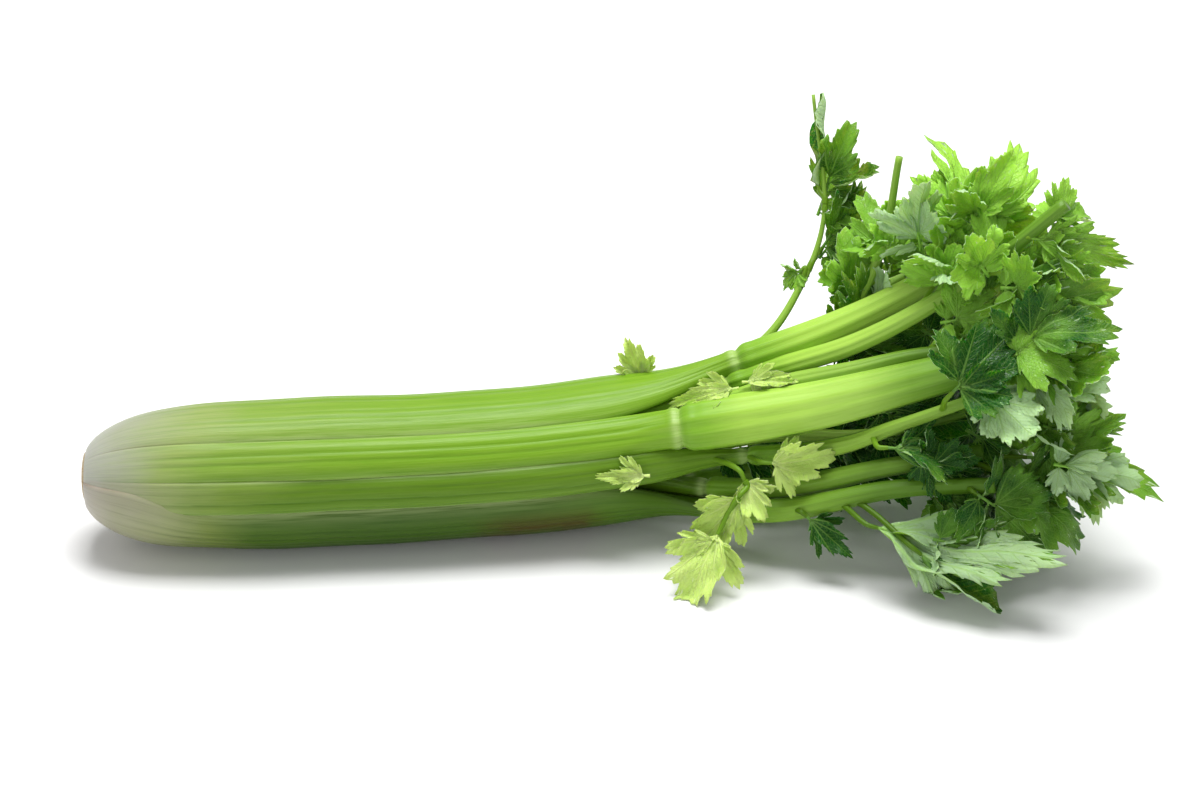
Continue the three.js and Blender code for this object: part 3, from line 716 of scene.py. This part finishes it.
side_stems = stem_tree()
stalk_skin_finish = stalk_finish()
for number, (name, stalk) in enumerate(STALKS.items()):
    points, values, rows, columns = stalk_skin(name, stalk, random.Random(20 + number))
    ends = [points[:columns].mean(axis=0), points[-columns:].mean(axis=0)]
    values = {key: np.concatenate([v, [v[0], v[-1]]]) for key, v in values.items()}
    skin_points = in_row(np.concatenate([points, ends]))
    body = mesh_piece(name, skin_points, capped_faces(rows, columns), values)
    face_outwards(body)
    body.data.materials.append(stalk_skin_finish)
    upper = upper_points(stalk)
    grown_here = [key for key, leaf in LEAVES.items() if leaf[0] == name and key not in TUCKED_IN]
    thickness = FORK_RADIUS * (1.25 - 0.6 * FORK_SHARES)
    ways = [(fork_way(upper, key), thickness) for key in grown_here]
    if ways:
        forks = stem_lines(name + "_forks", ways, {"reach": 300.0, "green_and_shade_depth": stalk[8]})
        grown(forks, side_stems, {"Thickness Gain": 1.0, "Sides": 10, "Skin": stalk_skin_finish})
        body = joined([body, forks], name + "_grown")
    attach(body, "root")
    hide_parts(name)

# ---------------------------------------------------------------------------
# Leaves: thin toothed blades in threes on a short stem, each blade cut into lobes,
# creased along its veins, cupped and ruffled. Glossy green above, pale and dull below.
BLADE_THICKNESS = 0.35
BLADE_RINGS = 8

# width for a length of one, cuts between lobes as (turn in degrees, how deep), half the
# spread in degrees, and teeth round the edge
BLADES = {
    "fan": (0.78, ((16, 0.34), (-18, 0.3), (41, 0.26), (-43, 0.3)), 60, 20),
    "broad": (0.9, ((13, 0.24), (-15, 0.2), (33, 0.3), (-36, 0.22)), 66, 22),
    "deep": (0.66, ((15, 0.48), (-14, 0.42), (35, 0.36), (-36, 0.4)), 56, 20),
    "long": (0.46, ((8, 0.2), (-9, 0.16), (22, 0.3), (-20, 0.26)), 46, 24),
    "slim": (0.24, ((6, 0.12), (-6, 0.1)), 30, 14),
}


def blade_shape(kind, chance):
    """A blade one unit long, every one a little different: upper and lower skin."""
    width, cuts, limit, teeth = BLADES[kind]
    width *= chance.uniform(0.85, 1.15)
    cuts = [(t + chance.uniform(-3, 3), d * chance.uniform(0.6, 1.3)) for t, d in cuts]
    fine = np.radians(np.linspace(-limit, limit, 1601))

    def edge_at(turns):
        reach = np.cos(turns) / (np.cos(turns) ** 2 + np.sin(turns) ** 2 / width ** 2)
        for turn, cut in cuts:
            off = np.abs(np.degrees(turns) - turn) / 4.2
            reach = reach * (1 - cut * np.exp(-off ** 1.5))
        return reach * np.clip((limit + 1 - np.abs(np.degrees(turns))) / 12, 0, 1) ** 0.35

    smooth = edge_at(fine)
    steps = np.hypot(np.diff(smooth * np.cos(fine)), np.diff(smooth * np.sin(fine)))
    along = np.concatenate([[0], np.cumsum(steps)]) / steps.sum()
    count = teeth * 4 + 1
    turns = np.interp(np.linspace(0, 1, count), along, fine)
    turns[np.argmin(np.abs(turns))] = 0.0
    place = np.linspace(0, 1, count)
    saw = 1 - np.abs(2 * ((place * teeth) % 1) - 1)
    size = np.array([chance.uniform(0.4, 1.25) for _ in range(teeth + 1)])
    reach = edge_at(turns)
    upper_part = np.clip((reach - 0.35) / 0.3, 0, 1)
    tooth = saw ** 0.9 * size[np.minimum((place * teeth).astype(int), teeth)] * 0.1 * upper_part
    reach = np.maximum(reach * (0.94 + tooth), 0.06)
    share = (np.arange(1, BLADE_RINGS + 1) / BLADE_RINGS) ** 0.8
    r = share[:, None] * reach[None, :]
    turn_all = np.broadcast_to(turns, r.shape)
    sides = sorted(t for t, _ in cuts)
    halves = [(a + b) / 2 for a, b in zip([-limit] + sides, sides + [limit])]
    centres = np.radians([0.0 if abs(h) < 8 else h for h in halves])
    nearest = np.abs(turn_all[..., None] - centres).min(axis=-1)
    lobe_x = r * np.cos(nearest)
    lobe_y = r * np.sin(nearest)
    u, v = r * np.cos(turn_all), r * np.sin(turn_all)
    pucker = np.sin(lobe_x * 52 - lobe_y * 66) * np.clip(lobe_y * 14, 0, 1)
    arch = chance.uniform(-0.2, 0.75)
    fold = chance.uniform(-0.3, 1.6)
    crumple = (np.sin(u * 7.5 + chance.uniform(0, 6)) * np.sin(v * 9 + chance.uniform(0, 6))
               + 0.6 * np.sin(u * 13 + v * 11 + chance.uniform(0, 6)))
    curl = chance.uniform(-0.12, 0.22)
    height = (chance.uniform(0.2, 0.55) * lobe_y + 0.014 * pucker - arch * r ** 2
              + fold * v ** 2 + 0.055 * crumple * share[:, None] + curl * share[:, None] ** 4 * r)
    rim = np.broadcast_to(share[:, None] ** 1.5, r.shape) * np.clip(lobe_y * 8, 0.3, 1)
    flat = [np.concatenate([[0.0], a.ravel()]) for a in (u, v, height, lobe_x, lobe_y, rim)]
    points = np.stack(flat[:3], axis=-1)
    n = len(points)
    columns = len(turns)
    top = [(1 + a, 1 + b, 1 + c, 1 + d) for a, b, c, d in grid_faces(BLADE_RINGS, columns, False)]
    top += [(0, 2 + c, 1 + c) for c in range(columns - 1)]
    below = [tuple(reversed([i + n for i in f])) for f in top]
    border = [0] + [1 + row * columns for row in range(BLADE_RINGS)]
    border += [1 + (BLADE_RINGS - 1) * columns + c for c in range(1, columns)]
    border += [1 + row * columns + columns - 1 for row in range(BLADE_RINGS - 2, -1, -1)]
    sides = [(a, b, b + n, a + n) for a, b in zip(border, border[1:] + border[:1])]
    under = np.concatenate([np.zeros(n), np.ones(n)])
    values = {key: np.tile(numbers, 2) for key, numbers in zip(("lobe_x", "lobe_y", "rim"), flat[3:])}
    values["under"] = under
    return np.concatenate([points, points]), top + below + sides, values, n


def turned(points, about_x, about_y, about_z):
    """Points rolled about X, then pitched about Y, then swung about Z, in degrees."""
    turn = Euler((math.radians(about_x), math.radians(about_y), math.radians(about_z))).to_matrix()
    return points @ np.array(turn).T


def leaf_stalk(start, end, thick_start, thick_end):
    """A thin stem between two points of a flat leaf, with the values a blade has."""
    start, end = np.asarray(start, float), np.asarray(end, float)
    way = (end - start) / np.linalg.norm(end - start)
    across = np.cross(way, (0, 0, 1.0))
    across /= np.linalg.norm(across)
    up = np.cross(across, way)
    points = []
    for share in (0.0, 0.25, 0.5, 0.75, 1.0):
        thick = thick_start + (thick_end - thick_start) * share
        for k in range(8):
            turn = k * math.pi / 4
            points.append(start + (end - start) * share
                          + thick * (across * math.cos(turn) + up * math.sin(turn)))
    faces = grid_faces(5, 8, True) + [tuple(range(7, -1, -1)), tuple(range(32, 40))]
    blank = np.zeros(len(points))
    values = {"lobe_x": blank + 0.1, "lobe_y": blank, "rim": blank, "under": blank}
    return np.array(points), faces, values


def flat_leaf(length, kinds, gain, calm, chance):
    """A leaf of several blades on one stem in millimetres, foot at zero, tip along +X."""
    parts = []
    reach = max(foot for _, foot, _, _ in kinds) * length
    if reach > 1:
        parts.append(leaf_stalk((-0.8, 0, 0), (reach, 0, 0), 0.8, 0.5))
    for kind, foot, swing, size in kinds:
        points, faces, values, n = blade_shape(kind, chance)
        points = points * size * length
        points[:, 1] *= gain
        points[n:, 2] -= BLADE_THICKNESS
        wild = {"slim": 0.1, "long": 0.3}.get(kind, calm)
        roll = chance.uniform(-50, 50) * wild + (0.3 * swing if abs(swing) > 20 else 0)
        points = turned(points, roll, chance.uniform(-34, 24) * wild, swing + chance.uniform(-10, 10) * wild)
        stem = 0.035 * length if abs(swing) > 20 else 0.0
        base = np.array([foot * length, 0.0, 0.0])
        out = base + np.array([math.cos(math.radians(swing)), math.sin(math.radians(swing)), 0]) * stem
        parts.append((points + out, faces, values))
        if stem:
            parts.append(leaf_stalk(base, out + (out - base) * 0.4, 0.5, 0.35))
    start = 0
    all_points, all_faces, all_values = [], [], {}
    for points, faces, values in parts:
        all_points.append(points)
        all_faces += [tuple(i + start for i in f) for f in faces]
        start += len(points)
        for key, numbers in values.items():
            all_values.setdefault(key, []).append(numbers)
    return np.concatenate(all_points), all_faces, {k: np.concatenate(v) for k, v in all_values.items()}


def leaf_tree():
    """Geometry nodes: cups, droops and ruffles a flat leaf, then puts it in its place."""
    inputs = {key: "Vector" for key in ("Foot", "Along", "Across", "Face")}
    inputs.update({key: "Float" for key in ("Length", "Half Width", "Cup", "Droop", "Ruffle", "Seed")})
    nodes, asked = new_tree("leaf shaping", inputs)
    flat = nodes.add("GeometryNodeInputPosition").outputs[0]
    parts = nodes.add("ShaderNodeSeparateXYZ")
    nodes.put(flat, parts.inputs[0])
    u, v, w = parts.outputs
    across = nodes.math("DIVIDE", v, asked.outputs["Half Width"])
    cup = nodes.math("MULTIPLY", nodes.math("MULTIPLY", across, across), asked.outputs["Cup"])
    cup = nodes.math("MULTIPLY", cup, nodes.math("MULTIPLY", asked.outputs["Half Width"], 0.44))
    along = nodes.math("DIVIDE", u, asked.outputs["Length"])
    droop = nodes.math("MULTIPLY", along, nodes.math("ABSOLUTE", along))
    droop = nodes.math("MULTIPLY", droop, asked.outputs["Length"])
    droop = nodes.math("MULTIPLY", droop, asked.outputs["Droop"])
    waves = nodes.add("ShaderNodeTexNoise", noise_dimensions="4D")
    nodes.put(flat, waves.inputs["Vector"])
    nodes.put(asked.outputs["Seed"], waves.inputs["W"])
    waves.inputs["Scale"].default_value = 85.0
    waves.inputs["Detail"].default_value = 1.5
    ruffle = nodes.math("MULTIPLY", nodes.math("SUBTRACT", waves.outputs[0], 0.5), asked.outputs["Ruffle"])
    ruffle = nodes.math("MULTIPLY", ruffle, nodes.stored("rim"))
    height = nodes.math("ADD", nodes.math("SUBTRACT", nodes.math("ADD", w, cup), droop), ruffle)
    place = nodes.vector("ADD", asked.outputs["Foot"], nodes.vector("SCALE", asked.outputs["Along"], scale=u))
    place = nodes.vector("ADD", place, nodes.vector("SCALE", asked.outputs["Across"], scale=v))
    place = nodes.vector("ADD", place, nodes.vector("SCALE", asked.outputs["Face"], scale=height))
    split, whole = nodes.add("ShaderNodeSeparateXYZ"), nodes.add("ShaderNodeCombineXYZ")
    nodes.put(place, split.inputs[0])
    nodes.put(split.outputs[0], whole.inputs[0])
    nodes.put(split.outputs[1], whole.inputs[1])
    floor_gap = nodes.math("MULTIPLY_ADD", nodes.stored("under"), -0.0005, 0.0009)
    low = nodes.math("ADD", nodes.math("MULTIPLY", nodes.math("MAXIMUM", w, 0.0), 0.5), floor_gap)
    nodes.put(nodes.math("MAXIMUM", split.outputs[2], low), whole.inputs[2])
    moved = nodes.add("GeometryNodeSetPosition")
    nodes.put(asked.outputs["Geometry"], moved.inputs["Geometry"])
    nodes.put(whole.outputs[0], moved.inputs["Position"])
    return end_tree(nodes, asked, moved.outputs[0])


def vein_group():
    """Shader group: how far a place on a blade is vein, and how far it is fine net."""
    tree = bpy.data.node_groups.new("leaf veins", "ShaderNodeTree")
    for key, kind in {"Along Lobe": "Float", "From Midrib": "Float", "Place": "Vector"}.items():
        tree.interface.new_socket(key, in_out="INPUT", socket_type="NodeSocket" + kind)
    for key in ("Veins", "Net"):
        tree.interface.new_socket(key, in_out="OUTPUT", socket_type="NodeSocketFloat")
    nodes = Nodes(tree)
    asked, given = nodes.add("NodeGroupInput"), nodes.add("NodeGroupOutput")
    x, y, place = asked.outputs["Along Lobe"], asked.outputs["From Midrib"], asked.outputs["Place"]
    mid_width = nodes.span(x, 0.0, 1.0, 0.013, 0.003)
    midrib = nodes.span(nodes.math("DIVIDE", y, mid_width), 1.7, 0.4)
    branch = nodes.math("DIVIDE", nodes.math("MULTIPLY_ADD", y, -1.3, x), 0.085)
    branch = nodes.math("ABSOLUTE", nodes.math("SUBTRACT", nodes.math("FRACT", branch), 0.5))
    branch = nodes.math("MULTIPLY", nodes.span(branch, 0.11, 0.02), nodes.span(y, 0.2, 0.02))
    nodes.put(nodes.math("MAXIMUM", midrib, nodes.math("MULTIPLY", branch, 0.6)), given.inputs["Veins"])
    web = nodes.add("ShaderNodeTexVoronoi", feature="DISTANCE_TO_EDGE")
    nodes.put(place, web.inputs["Vector"])
    web.inputs["Scale"].default_value = 700.0
    nodes.put(nodes.span(web.outputs["Distance"], 0.12, 0.0), given.inputs["Net"])
    return tree


leaf_veins = vein_group()


def leaf_finish(name, bright, dark, lower, vein, gloss):
    """Blade skin: a dark and a bright green mixed by the leaf's painted light and shade, pale and duller
    below, with paler veins that stand out below.
    """
    material, nodes, shader, place = new_finish(name)
    x, y, under, light = (nodes.value(key) for key in ("lobe_x", "lobe_y", "under", "light"))
    under = nodes.math("GREATER_THAN", under, 0.5)
    pattern = nodes.add("ShaderNodeGroup", node_tree=leaf_veins)
    for value, socket in zip((x, y, place), pattern.inputs):
        nodes.put(value, socket)
    veins, net = pattern.outputs
    blotch = nodes.noise(place, 55.0, 3.0)
    # Painted light and shade: the leaf's light value, with blotchy tone over it, mixes the dark and the
    # bright green.
    fresh = nodes.math("ADD", light, nodes.span(blotch, 0.3, 0.7, -0.28, 0.28), clamp=True)
    colour = nodes.mix(under, nodes.mix(fresh, dark, bright), lower)
    shown = nodes.math("MULTIPLY_ADD", under, 0.12, 0.45)
    colour = nodes.mix(nodes.math("MULTIPLY", veins, shown), colour, vein)
    colour = nodes.mix(nodes.math("MULTIPLY", net, 0.12), colour, vein)
    nodes.put(colour, shader.inputs["Base Color"])
    patch = nodes.span(blotch, 0.35, 0.65, gloss - 0.06, gloss + 0.08)
    nodes.put(nodes.math("MULTIPLY_ADD", under, 0.22, patch), shader.inputs["Roughness"])
    shader.inputs["Specular IOR Level"].default_value = 0.24
    shader.inputs["Subsurface Weight"].default_value = 0.25
    shader.inputs["Subsurface Radius"].default_value = (0.7, 1.0, 0.2)
    shader.inputs["Subsurface Scale"].default_value = 0.003
    relief = nodes.math("ADD", nodes.math("MULTIPLY", net, 0.3), veins)
    height = nodes.math("MULTIPLY", relief, nodes.math("MULTIPLY_ADD", under, 2.0, -1.0))
    bump(nodes, shader, height, 0.7, 0.0006)
    return material


# For the green leaf, the first two greens are the painted lit and shaded tones of the upper face.
leaf_green = leaf_finish("green leaf", paint(152, 216, 66), paint(12, 72, 4), paint(172, 210, 150),
                         paint(140, 190, 84), 0.36)
leaf_young = leaf_finish("young leaf", paint(212, 240, 138), paint(164, 212, 60), paint(224, 244, 178),
                         paint(226, 246, 156), 0.45)
FIVE_BLADES = (("fan", 0.24, 0, 0.8), ("broad", 0.2, 46, 0.62), ("deep", 0.14, -48, 0.66),
               ("fan", 0.06, 84, 0.46), ("fan", 0.04, -80, 0.44))
BROAD_BLADES = (("broad", 0.1, 0, 0.95), ("fan", 0.12, 58, 0.6), ("broad", 0.06, -56, 0.62))
SIDE_BLADES = (("fan", 0.2, 0, 0.8), ("fan", 0.12, -58, 0.62), ("fan", 0.02, -88, 0.5))
LONG_BLADES = (("long", 0.05, 0, 1.0), ("deep", 0.1, 34, 0.5), ("deep", 0.08, -30, 0.55))
LARGE_BLADE = (("long", 0.0, 0, 1.0), ("long", 0.05, -16, 0.72), ("long", 0.08, 17, 0.66))
ONE_SLIM = (("slim", 0.0, 0, 1.0),)
# painted light and shade on each leaf, from its dark to its bright green; the others are a middle green, 0.4
LEAF_PAINTED_LIGHT = {
    "leaf_crest_left": 1.0, "leaf_crest_right": 1.0, "leaf_crest_mid": 1.0, "leaf_rear_tip": 0.85,
    "leaf_rear_pale": 0.7, "leaf_rear_mid": 0.6, "leaf_right_crest": 0.8, "leaf_hook": 0.75,
    "leaf_dark_high": 0.32, "leaf_dark_mid": 0.12, "leaf_dark_right": 0.5, "leaf_front_dark": 0.0,
    "leaf_right_mid": 0.5, "leaf_tip_high": 0.42, "leaf_tip_long": 0.4, "leaf_right_high": 0.6,
    "leaf_low_dark": -0.05, "leaf_crinkled": -0.1, "leaf_back_edge": 0.0, "leaf_back_high": 0.25,
    "leaf_back_low": 0.15, "leaf_tip_low": 0.2, "leaf_low_right": 0.12, "leaf_low_narrow": 0.1,
}
leaf_shaping = leaf_tree()
SPRAY_BLADES = (("broad", 0.0, 0, 1.0), ("fan", 0.05, 48, 0.6), ("fan", 0.05, -46, 0.55))
LEAF_KINDS = {
    "young_spray_top": SPRAY_BLADES, "young_spray_mid": SPRAY_BLADES, "young_spray_low": SPRAY_BLADES,
    "young_under": SPRAY_BLADES, "young_top": SPRAY_BLADES, "young_scrap": LONG_BLADES,
    "young_joint": LONG_BLADES, "young_gap": LONG_BLADES,
    "leaf_back_edge": ONE_SLIM, "leaf_back_high": SIDE_BLADES, "leaf_back_low": SIDE_BLADES,
    "leaf_low_narrow": ONE_SLIM, "leaf_low_large": LARGE_BLADE, "leaf_hook": LONG_BLADES,
    "leaf_low_dark": LONG_BLADES, "leaf_front_dark": BROAD_BLADES, "leaf_front_pale": BROAD_BLADES,
    "leaf_crest_mid": BROAD_BLADES, "leaf_crest_right": BROAD_BLADES, "leaf_tip_high": LONG_BLADES,
    "leaf_rear_pale": BROAD_BLADES, "leaf_crinkled": LONG_BLADES, "leaf_tip_low": BROAD_BLADES,
}
# smaller leaves on the same stems, which fill the tuft: foot, tip, width, painted brightness, facing.
# Brightness is painted light and shade; those below zero are wholly shaded dark leaves that fill the shaded
# gaps between the stems.
COMPANIONS = {
    "leaf_crest_mid": [
        ((376, 22, 116), (388, 14, 150), 40, 0.9),
        ((392, 20, 130), (410, 14, 150), 36, 0.8),
    ],
    "leaf_crest_left": [
        ((368, 34, 128), (362, 36, 162), 36, 0.9, UNDER_SHOWN),
        ((374, 20, 118), (390, 8, 136), 34, 0.95),
        ((378, 40, 132), (396, 44, 164), 36, 1.0),
        ((384, 48, 126), (398, 62, 148), 40, 0.8, TO_BACK),
    ],
    "leaf_crest_right": [
        ((388, 30, 140), (402, 28, 172), 30, 1.0),
        ((394, 2, 132), (378, -2, 156), 30, 0.95),
    ],
    "leaf_rear_tip": [
        ((356, 50, 118), (350, 46, 138), 26, 0.9),
        ((368, 52, 112), (376, 46, 134), 36, 0.5),
        ((370, 60, 106), (394, 74, 122), 42, 0.6, TO_BACK),
    ],
    "leaf_back_high": [
        ((327, 92, 116), (336, 100, 146), 24, 0.45),
    ],
    "leaf_back_low": [
        ((328, 84, 98), (343, 92, 116), 28, 0.2),
    ],
    "leaf_rear_mid": [
        ((346, 54, 90), (332, 52, 102), 28, 0.3),
    ],
    "leaf_rear_pale": [
        ((350, 50, 92), (364, 44, 112), 36, 0.6, UNDER_SHOWN),
    ],
    "leaf_right_high": [
        ((400, -2, 128), (426, -12, 134), 36, 0.7),
        ((404, 4, 120), (440, 2, 126), 36, 0.5),
    ],
    "leaf_right_crest": [
        ((414, 6, 140), (440, 4, 128), 34, 0.8),
    ],
    "leaf_dark_high": [
        ((384, 0, 104), (408, -16, 102), 36, 0.2),
        ((376, 4, 108), (402, -6, 118), 36, 0.55),
    ],
    "leaf_dark_mid": [
        ((392, 20, 96), (420, 26, 84), 44, -0.3),
        ((348, -2, 66), (384, -8, 74), 34, -0.3),
        ((400, -20, 104), (424, -28, 114), 36, 0.6),
    ],
    "leaf_dark_right": [
        ((420, -10, 96), (450, -12, 104), 38, 0.6),
        ((412, -22, 92), (444, -30, 96), 32, 0.6, UNDER_SHOWN),
    ],
    "leaf_right_mid": [
        ((396, 10, 74), (424, 14, 60), 44, -0.3),
        ((424, -8, 84), (448, -12, 78), 34, 0.8, UNDER_SHOWN),
    ],
    "leaf_tip_high": [
        ((388, -10, 62), (416, -16, 48), 40, 0.1),
        ((420, -20, 70), (444, -26, 62), 34, 0.5),
    ],
    "leaf_tip_long": [
        ((430, -22, 51), (462, -28, 50), 34, 0.8, UNDER_SHOWN),
        ((424, -32, 58), (450, -36, 54), 28, 0.8, UNDER_SHOWN),
        ((420, -20, 56), (448, -28, 62), 36, 0.4),
    ],
    "leaf_crinkled": [
        ((366, -28, 58), (392, -34, 50), 32, -0.2),
        ((360, 6, 52), (392, 2, 60), 46, -0.3),
    ],
    "leaf_low_right": [
        ((376, -28, 40), (398, -38, 28), 36, 0.15),
        ((372, -30, 42), (404, -44, 40), 34, 0.2),
    ],
    "leaf_under_left": [
        ((380, 10, 40), (408, 4, 24), 40, -0.2),
        ((352, 20, 40), (382, 14, 46), 44, -0.3),
        ((340, 20, 28), (382, 16, 31), 36, -0.3),
        ((322, 26, 26), (366, 24, 28), 40, -0.3),
    ],
    "leaf_heart_high": [
        ((372, 40, 84), (400, 34, 70), 46, -0.3),
        ((352, 34, 62), (380, 26, 66), 44, -0.3),
        ((330, 36, 68), (372, 32, 73), 38, 0.1),
        ((326, 26, 38), (372, 22, 41), 44, -0.3),
        ((334, 46, 78), (376, 44, 90), 36, 0.15),
        ((384, 60, 84), (414, 68, 104), 42, 0.5, TO_BACK),
    ],
    "leaf_rear_high": [
        ((366, 70, 96), (384, 76, 118), 36, 0.5),
        ((372, 72, 94), (398, 88, 80), 42, 0.35, TO_BACK),
        ((378, 80, 98), (390, 92, 74), 38, 0.45, TO_BACK),
    ],
    "leaf_heart_low": [
        ((376, 56, 52), (402, 50, 40), 44, -0.3),
        ((350, 44, 46), (378, 36, 44), 44, -0.3),
        ((384, 66, 62), (418, 80, 66), 42, 0.4, TO_BACK),
        ((372, 60, 60), (398, 72, 44), 40, 0.25, TO_BACK),
        ((284, 30, 31), (326, 34, 31), 34, -0.3),
        ((308, 24, 42), (352, 20, 43), 34, -0.3),
    ],
    "leaf_tip_low": [
        ((400, -14, 36), (432, -18, 22), 36, 0.3),
    ],
    "leaf_rear_out": [
        ((392, 84, 98), (424, 94, 92), 38, 0.5, (0.3, 0.8, 0.5)),
        ((388, 80, 96), (414, 66, 112), 36, 0.6, (0, 0.3, 0.95)),
        ((386, 78, 86), (416, 90, 70), 42, 0.4, TO_BACK),
    ],
    "leaf_rear_right": [
        ((392, 88, 50), (426, 100, 36), 38, 0.4, TO_BACK),
        ((382, 84, 52), (406, 94, 66), 40, 0.45, TO_BACK),
    ],
    "leaf_under_right": [
        ((400, 52, 34), (436, 66, 40), 38, 0.4, (0.6, 0.5, 0.6)),
        ((388, 58, 34), (420, 76, 22), 42, 0.3, TO_BACK),
    ],
    "leaf_floor_rear": [
        ((380, 90, 42), (404, 80, 22), 34, 0.3, TO_BACK),
    ],
    "leaf_low_large": [
        ((372, -48, 30), (404, -52, 24), 30, 0.2),
    ],
}
COMPANION_CUP = 0.4
# how much longer or shorter a leaf is than its foot and tip say
LEAF_GAIN = {
    "leaf_tip_long": 0.86, "leaf_floor_rear": 0.86, "leaf_low_large": 0.94, "leaf_low_narrow": 1.1,
    "young_top": 1.25, "young_scrap": 1.3, "young_gap": 1.25, "young_joint": 1.25, "young_under": 1.1,
    "young_spray_top": 1.15, "young_spray_mid": 1.2, "young_spray_low": 1.1,
}


def grown_leaf(name, foot, tip, face, width, cup, light, kinds, young, number):
    """One leaf in its place in the head."""
    chance = random.Random(number)
    along = Vector(tip) - Vector(foot)
    length = along.length * LEAF_GAIN.get(name.replace("_blades", ""), 1.0)
    along.normalize()
    face = Vector(face)
    face = (face - along * face.dot(along)).normalized()
    edge_on = abs(face.x) > 0.9
    hang = -1.0 if face.z < -0.5 else 0.1 if edge_on or young else 1.0
    gain = min(1.3, max(0.85, width / length))
    points, faces, values = flat_leaf(length, kinds, gain, 0.45 if young else 1.0, chance)
    values["light"] = np.full(len(points), light)
    blade = mesh_piece(name, points * MM, faces, values)
    return grown(blade, leaf_shaping, {
        "Foot": tuple(in_row(foot)),
        "Along": tuple(along),
        "Across": tuple(face.cross(along)),
        "Face": tuple(face),
        "Length": length * MM,
        "Half Width": width * MM / 2,
        "Cup": cup,
        "Droop": (0.1 + chance.uniform(-0.05, 0.15)) * hang,
        "Ruffle": 0.005 if young else 0.008,
        "Seed": float(number * 3.7),
        "Skin": leaf_young if young else leaf_green,
    })


for number, (name, leaf) in enumerate(LEAVES.items()):
    _, foot, tip, face, width, cup = leaf
    young = name.startswith("young")
    kinds = LEAF_KINDS.get(name, FIVE_BLADES)
    light = random.Random(number).uniform(0.3, 0.9) if young else LEAF_PAINTED_LIGHT.get(name, 0.4)
    blade = grown_leaf(name + "_blades", foot, tip, face, width, cup, light, kinds, young, 300 + number)
    kinds = SIDE_BLADES if name.startswith("leaf_back") else FIVE_BLADES
    more = []
    for order, (foot, tip, width, light, *face) in enumerate(COMPANIONS.get(name, [])):
        facing = face[0] if face else TO_FRONT
        more.append(grown_leaf(name + "_companion", foot, tip, facing, width, COMPANION_CUP, light,
                               kinds, False, 500 + number * 5 + order))
    if more:
        blade = joined([blade, *more], name + "_blades")
    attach(blade, "root")
    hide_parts(name)

# ---------------------------------------------------------------------------
# Pale surface, soft light from above and a long lens looking down from the front.
CAMERA_LIFT = math.radians(30)
VIEW_WIDTH = 0.528
FOCAL_LENGTH = 100.0
aim = Vector(in_row((228.0, 10.0, 65.8)))
camera_data = bpy.data.cameras.new("camera")
camera_data.lens = FOCAL_LENGTH
camera_data.sensor_width = 36.0
camera = bpy.data.objects.new("camera", camera_data)
look = Vector((0.0, math.cos(CAMERA_LIFT), -math.sin(CAMERA_LIFT)))
camera.location = aim - look * (VIEW_WIDTH * FOCAL_LENGTH / 36.0)
camera.rotation_euler = look.to_track_quat("-Z", "Y").to_euler()
bpy.context.collection.objects.link(camera)
bpy.context.scene.camera = camera

floor_mesh = bpy.data.meshes.new("floor")
floor_mesh.from_pydata([(-6, -6, 0), (6, -6, 0), (6, 6, 0), (-6, 6, 0)], [], [(0, 1, 2, 3)])
floor = bpy.data.objects.new("floor", floor_mesh)
bpy.context.collection.objects.link(floor)
floor_finish, _, floor_shader, _ = new_finish("pale surface")
floor_shader.inputs["Base Color"].default_value = (0.86, 0.86, 0.86, 1)
floor_shader.inputs["Roughness"].default_value = 0.9
floor_mesh.materials.append(floor_finish)


def soft_light(name, place, size, power):
    lamp = bpy.data.lights.new(name, "AREA")
    lamp.shape = "RECTANGLE"
    lamp.size, lamp.size_y = size
    lamp.energy = power
    light = bpy.data.objects.new(name, lamp)
    light.location = place
    light.rotation_euler = (Vector((0, 0, 0.05)) - Vector(place)).to_track_quat("-Z", "Y").to_euler()
    bpy.context.collection.objects.link(light)


soft_light("key", (0.05, 0.25, 1.5), (1.0, 0.8), 30)
soft_light("front", (-0.8, -1.5, 0.7), (1.0, 0.7), 5)
world = bpy.data.worlds.new("studio")
world.use_nodes = True
world.node_tree.nodes["Background"].inputs[0].default_value = (1, 1, 1, 1)
world.node_tree.nodes["Background"].inputs[1].default_value = 0.42
bpy.context.scene.world = world
bpy.context.scene.view_settings.view_transform = "Standard"
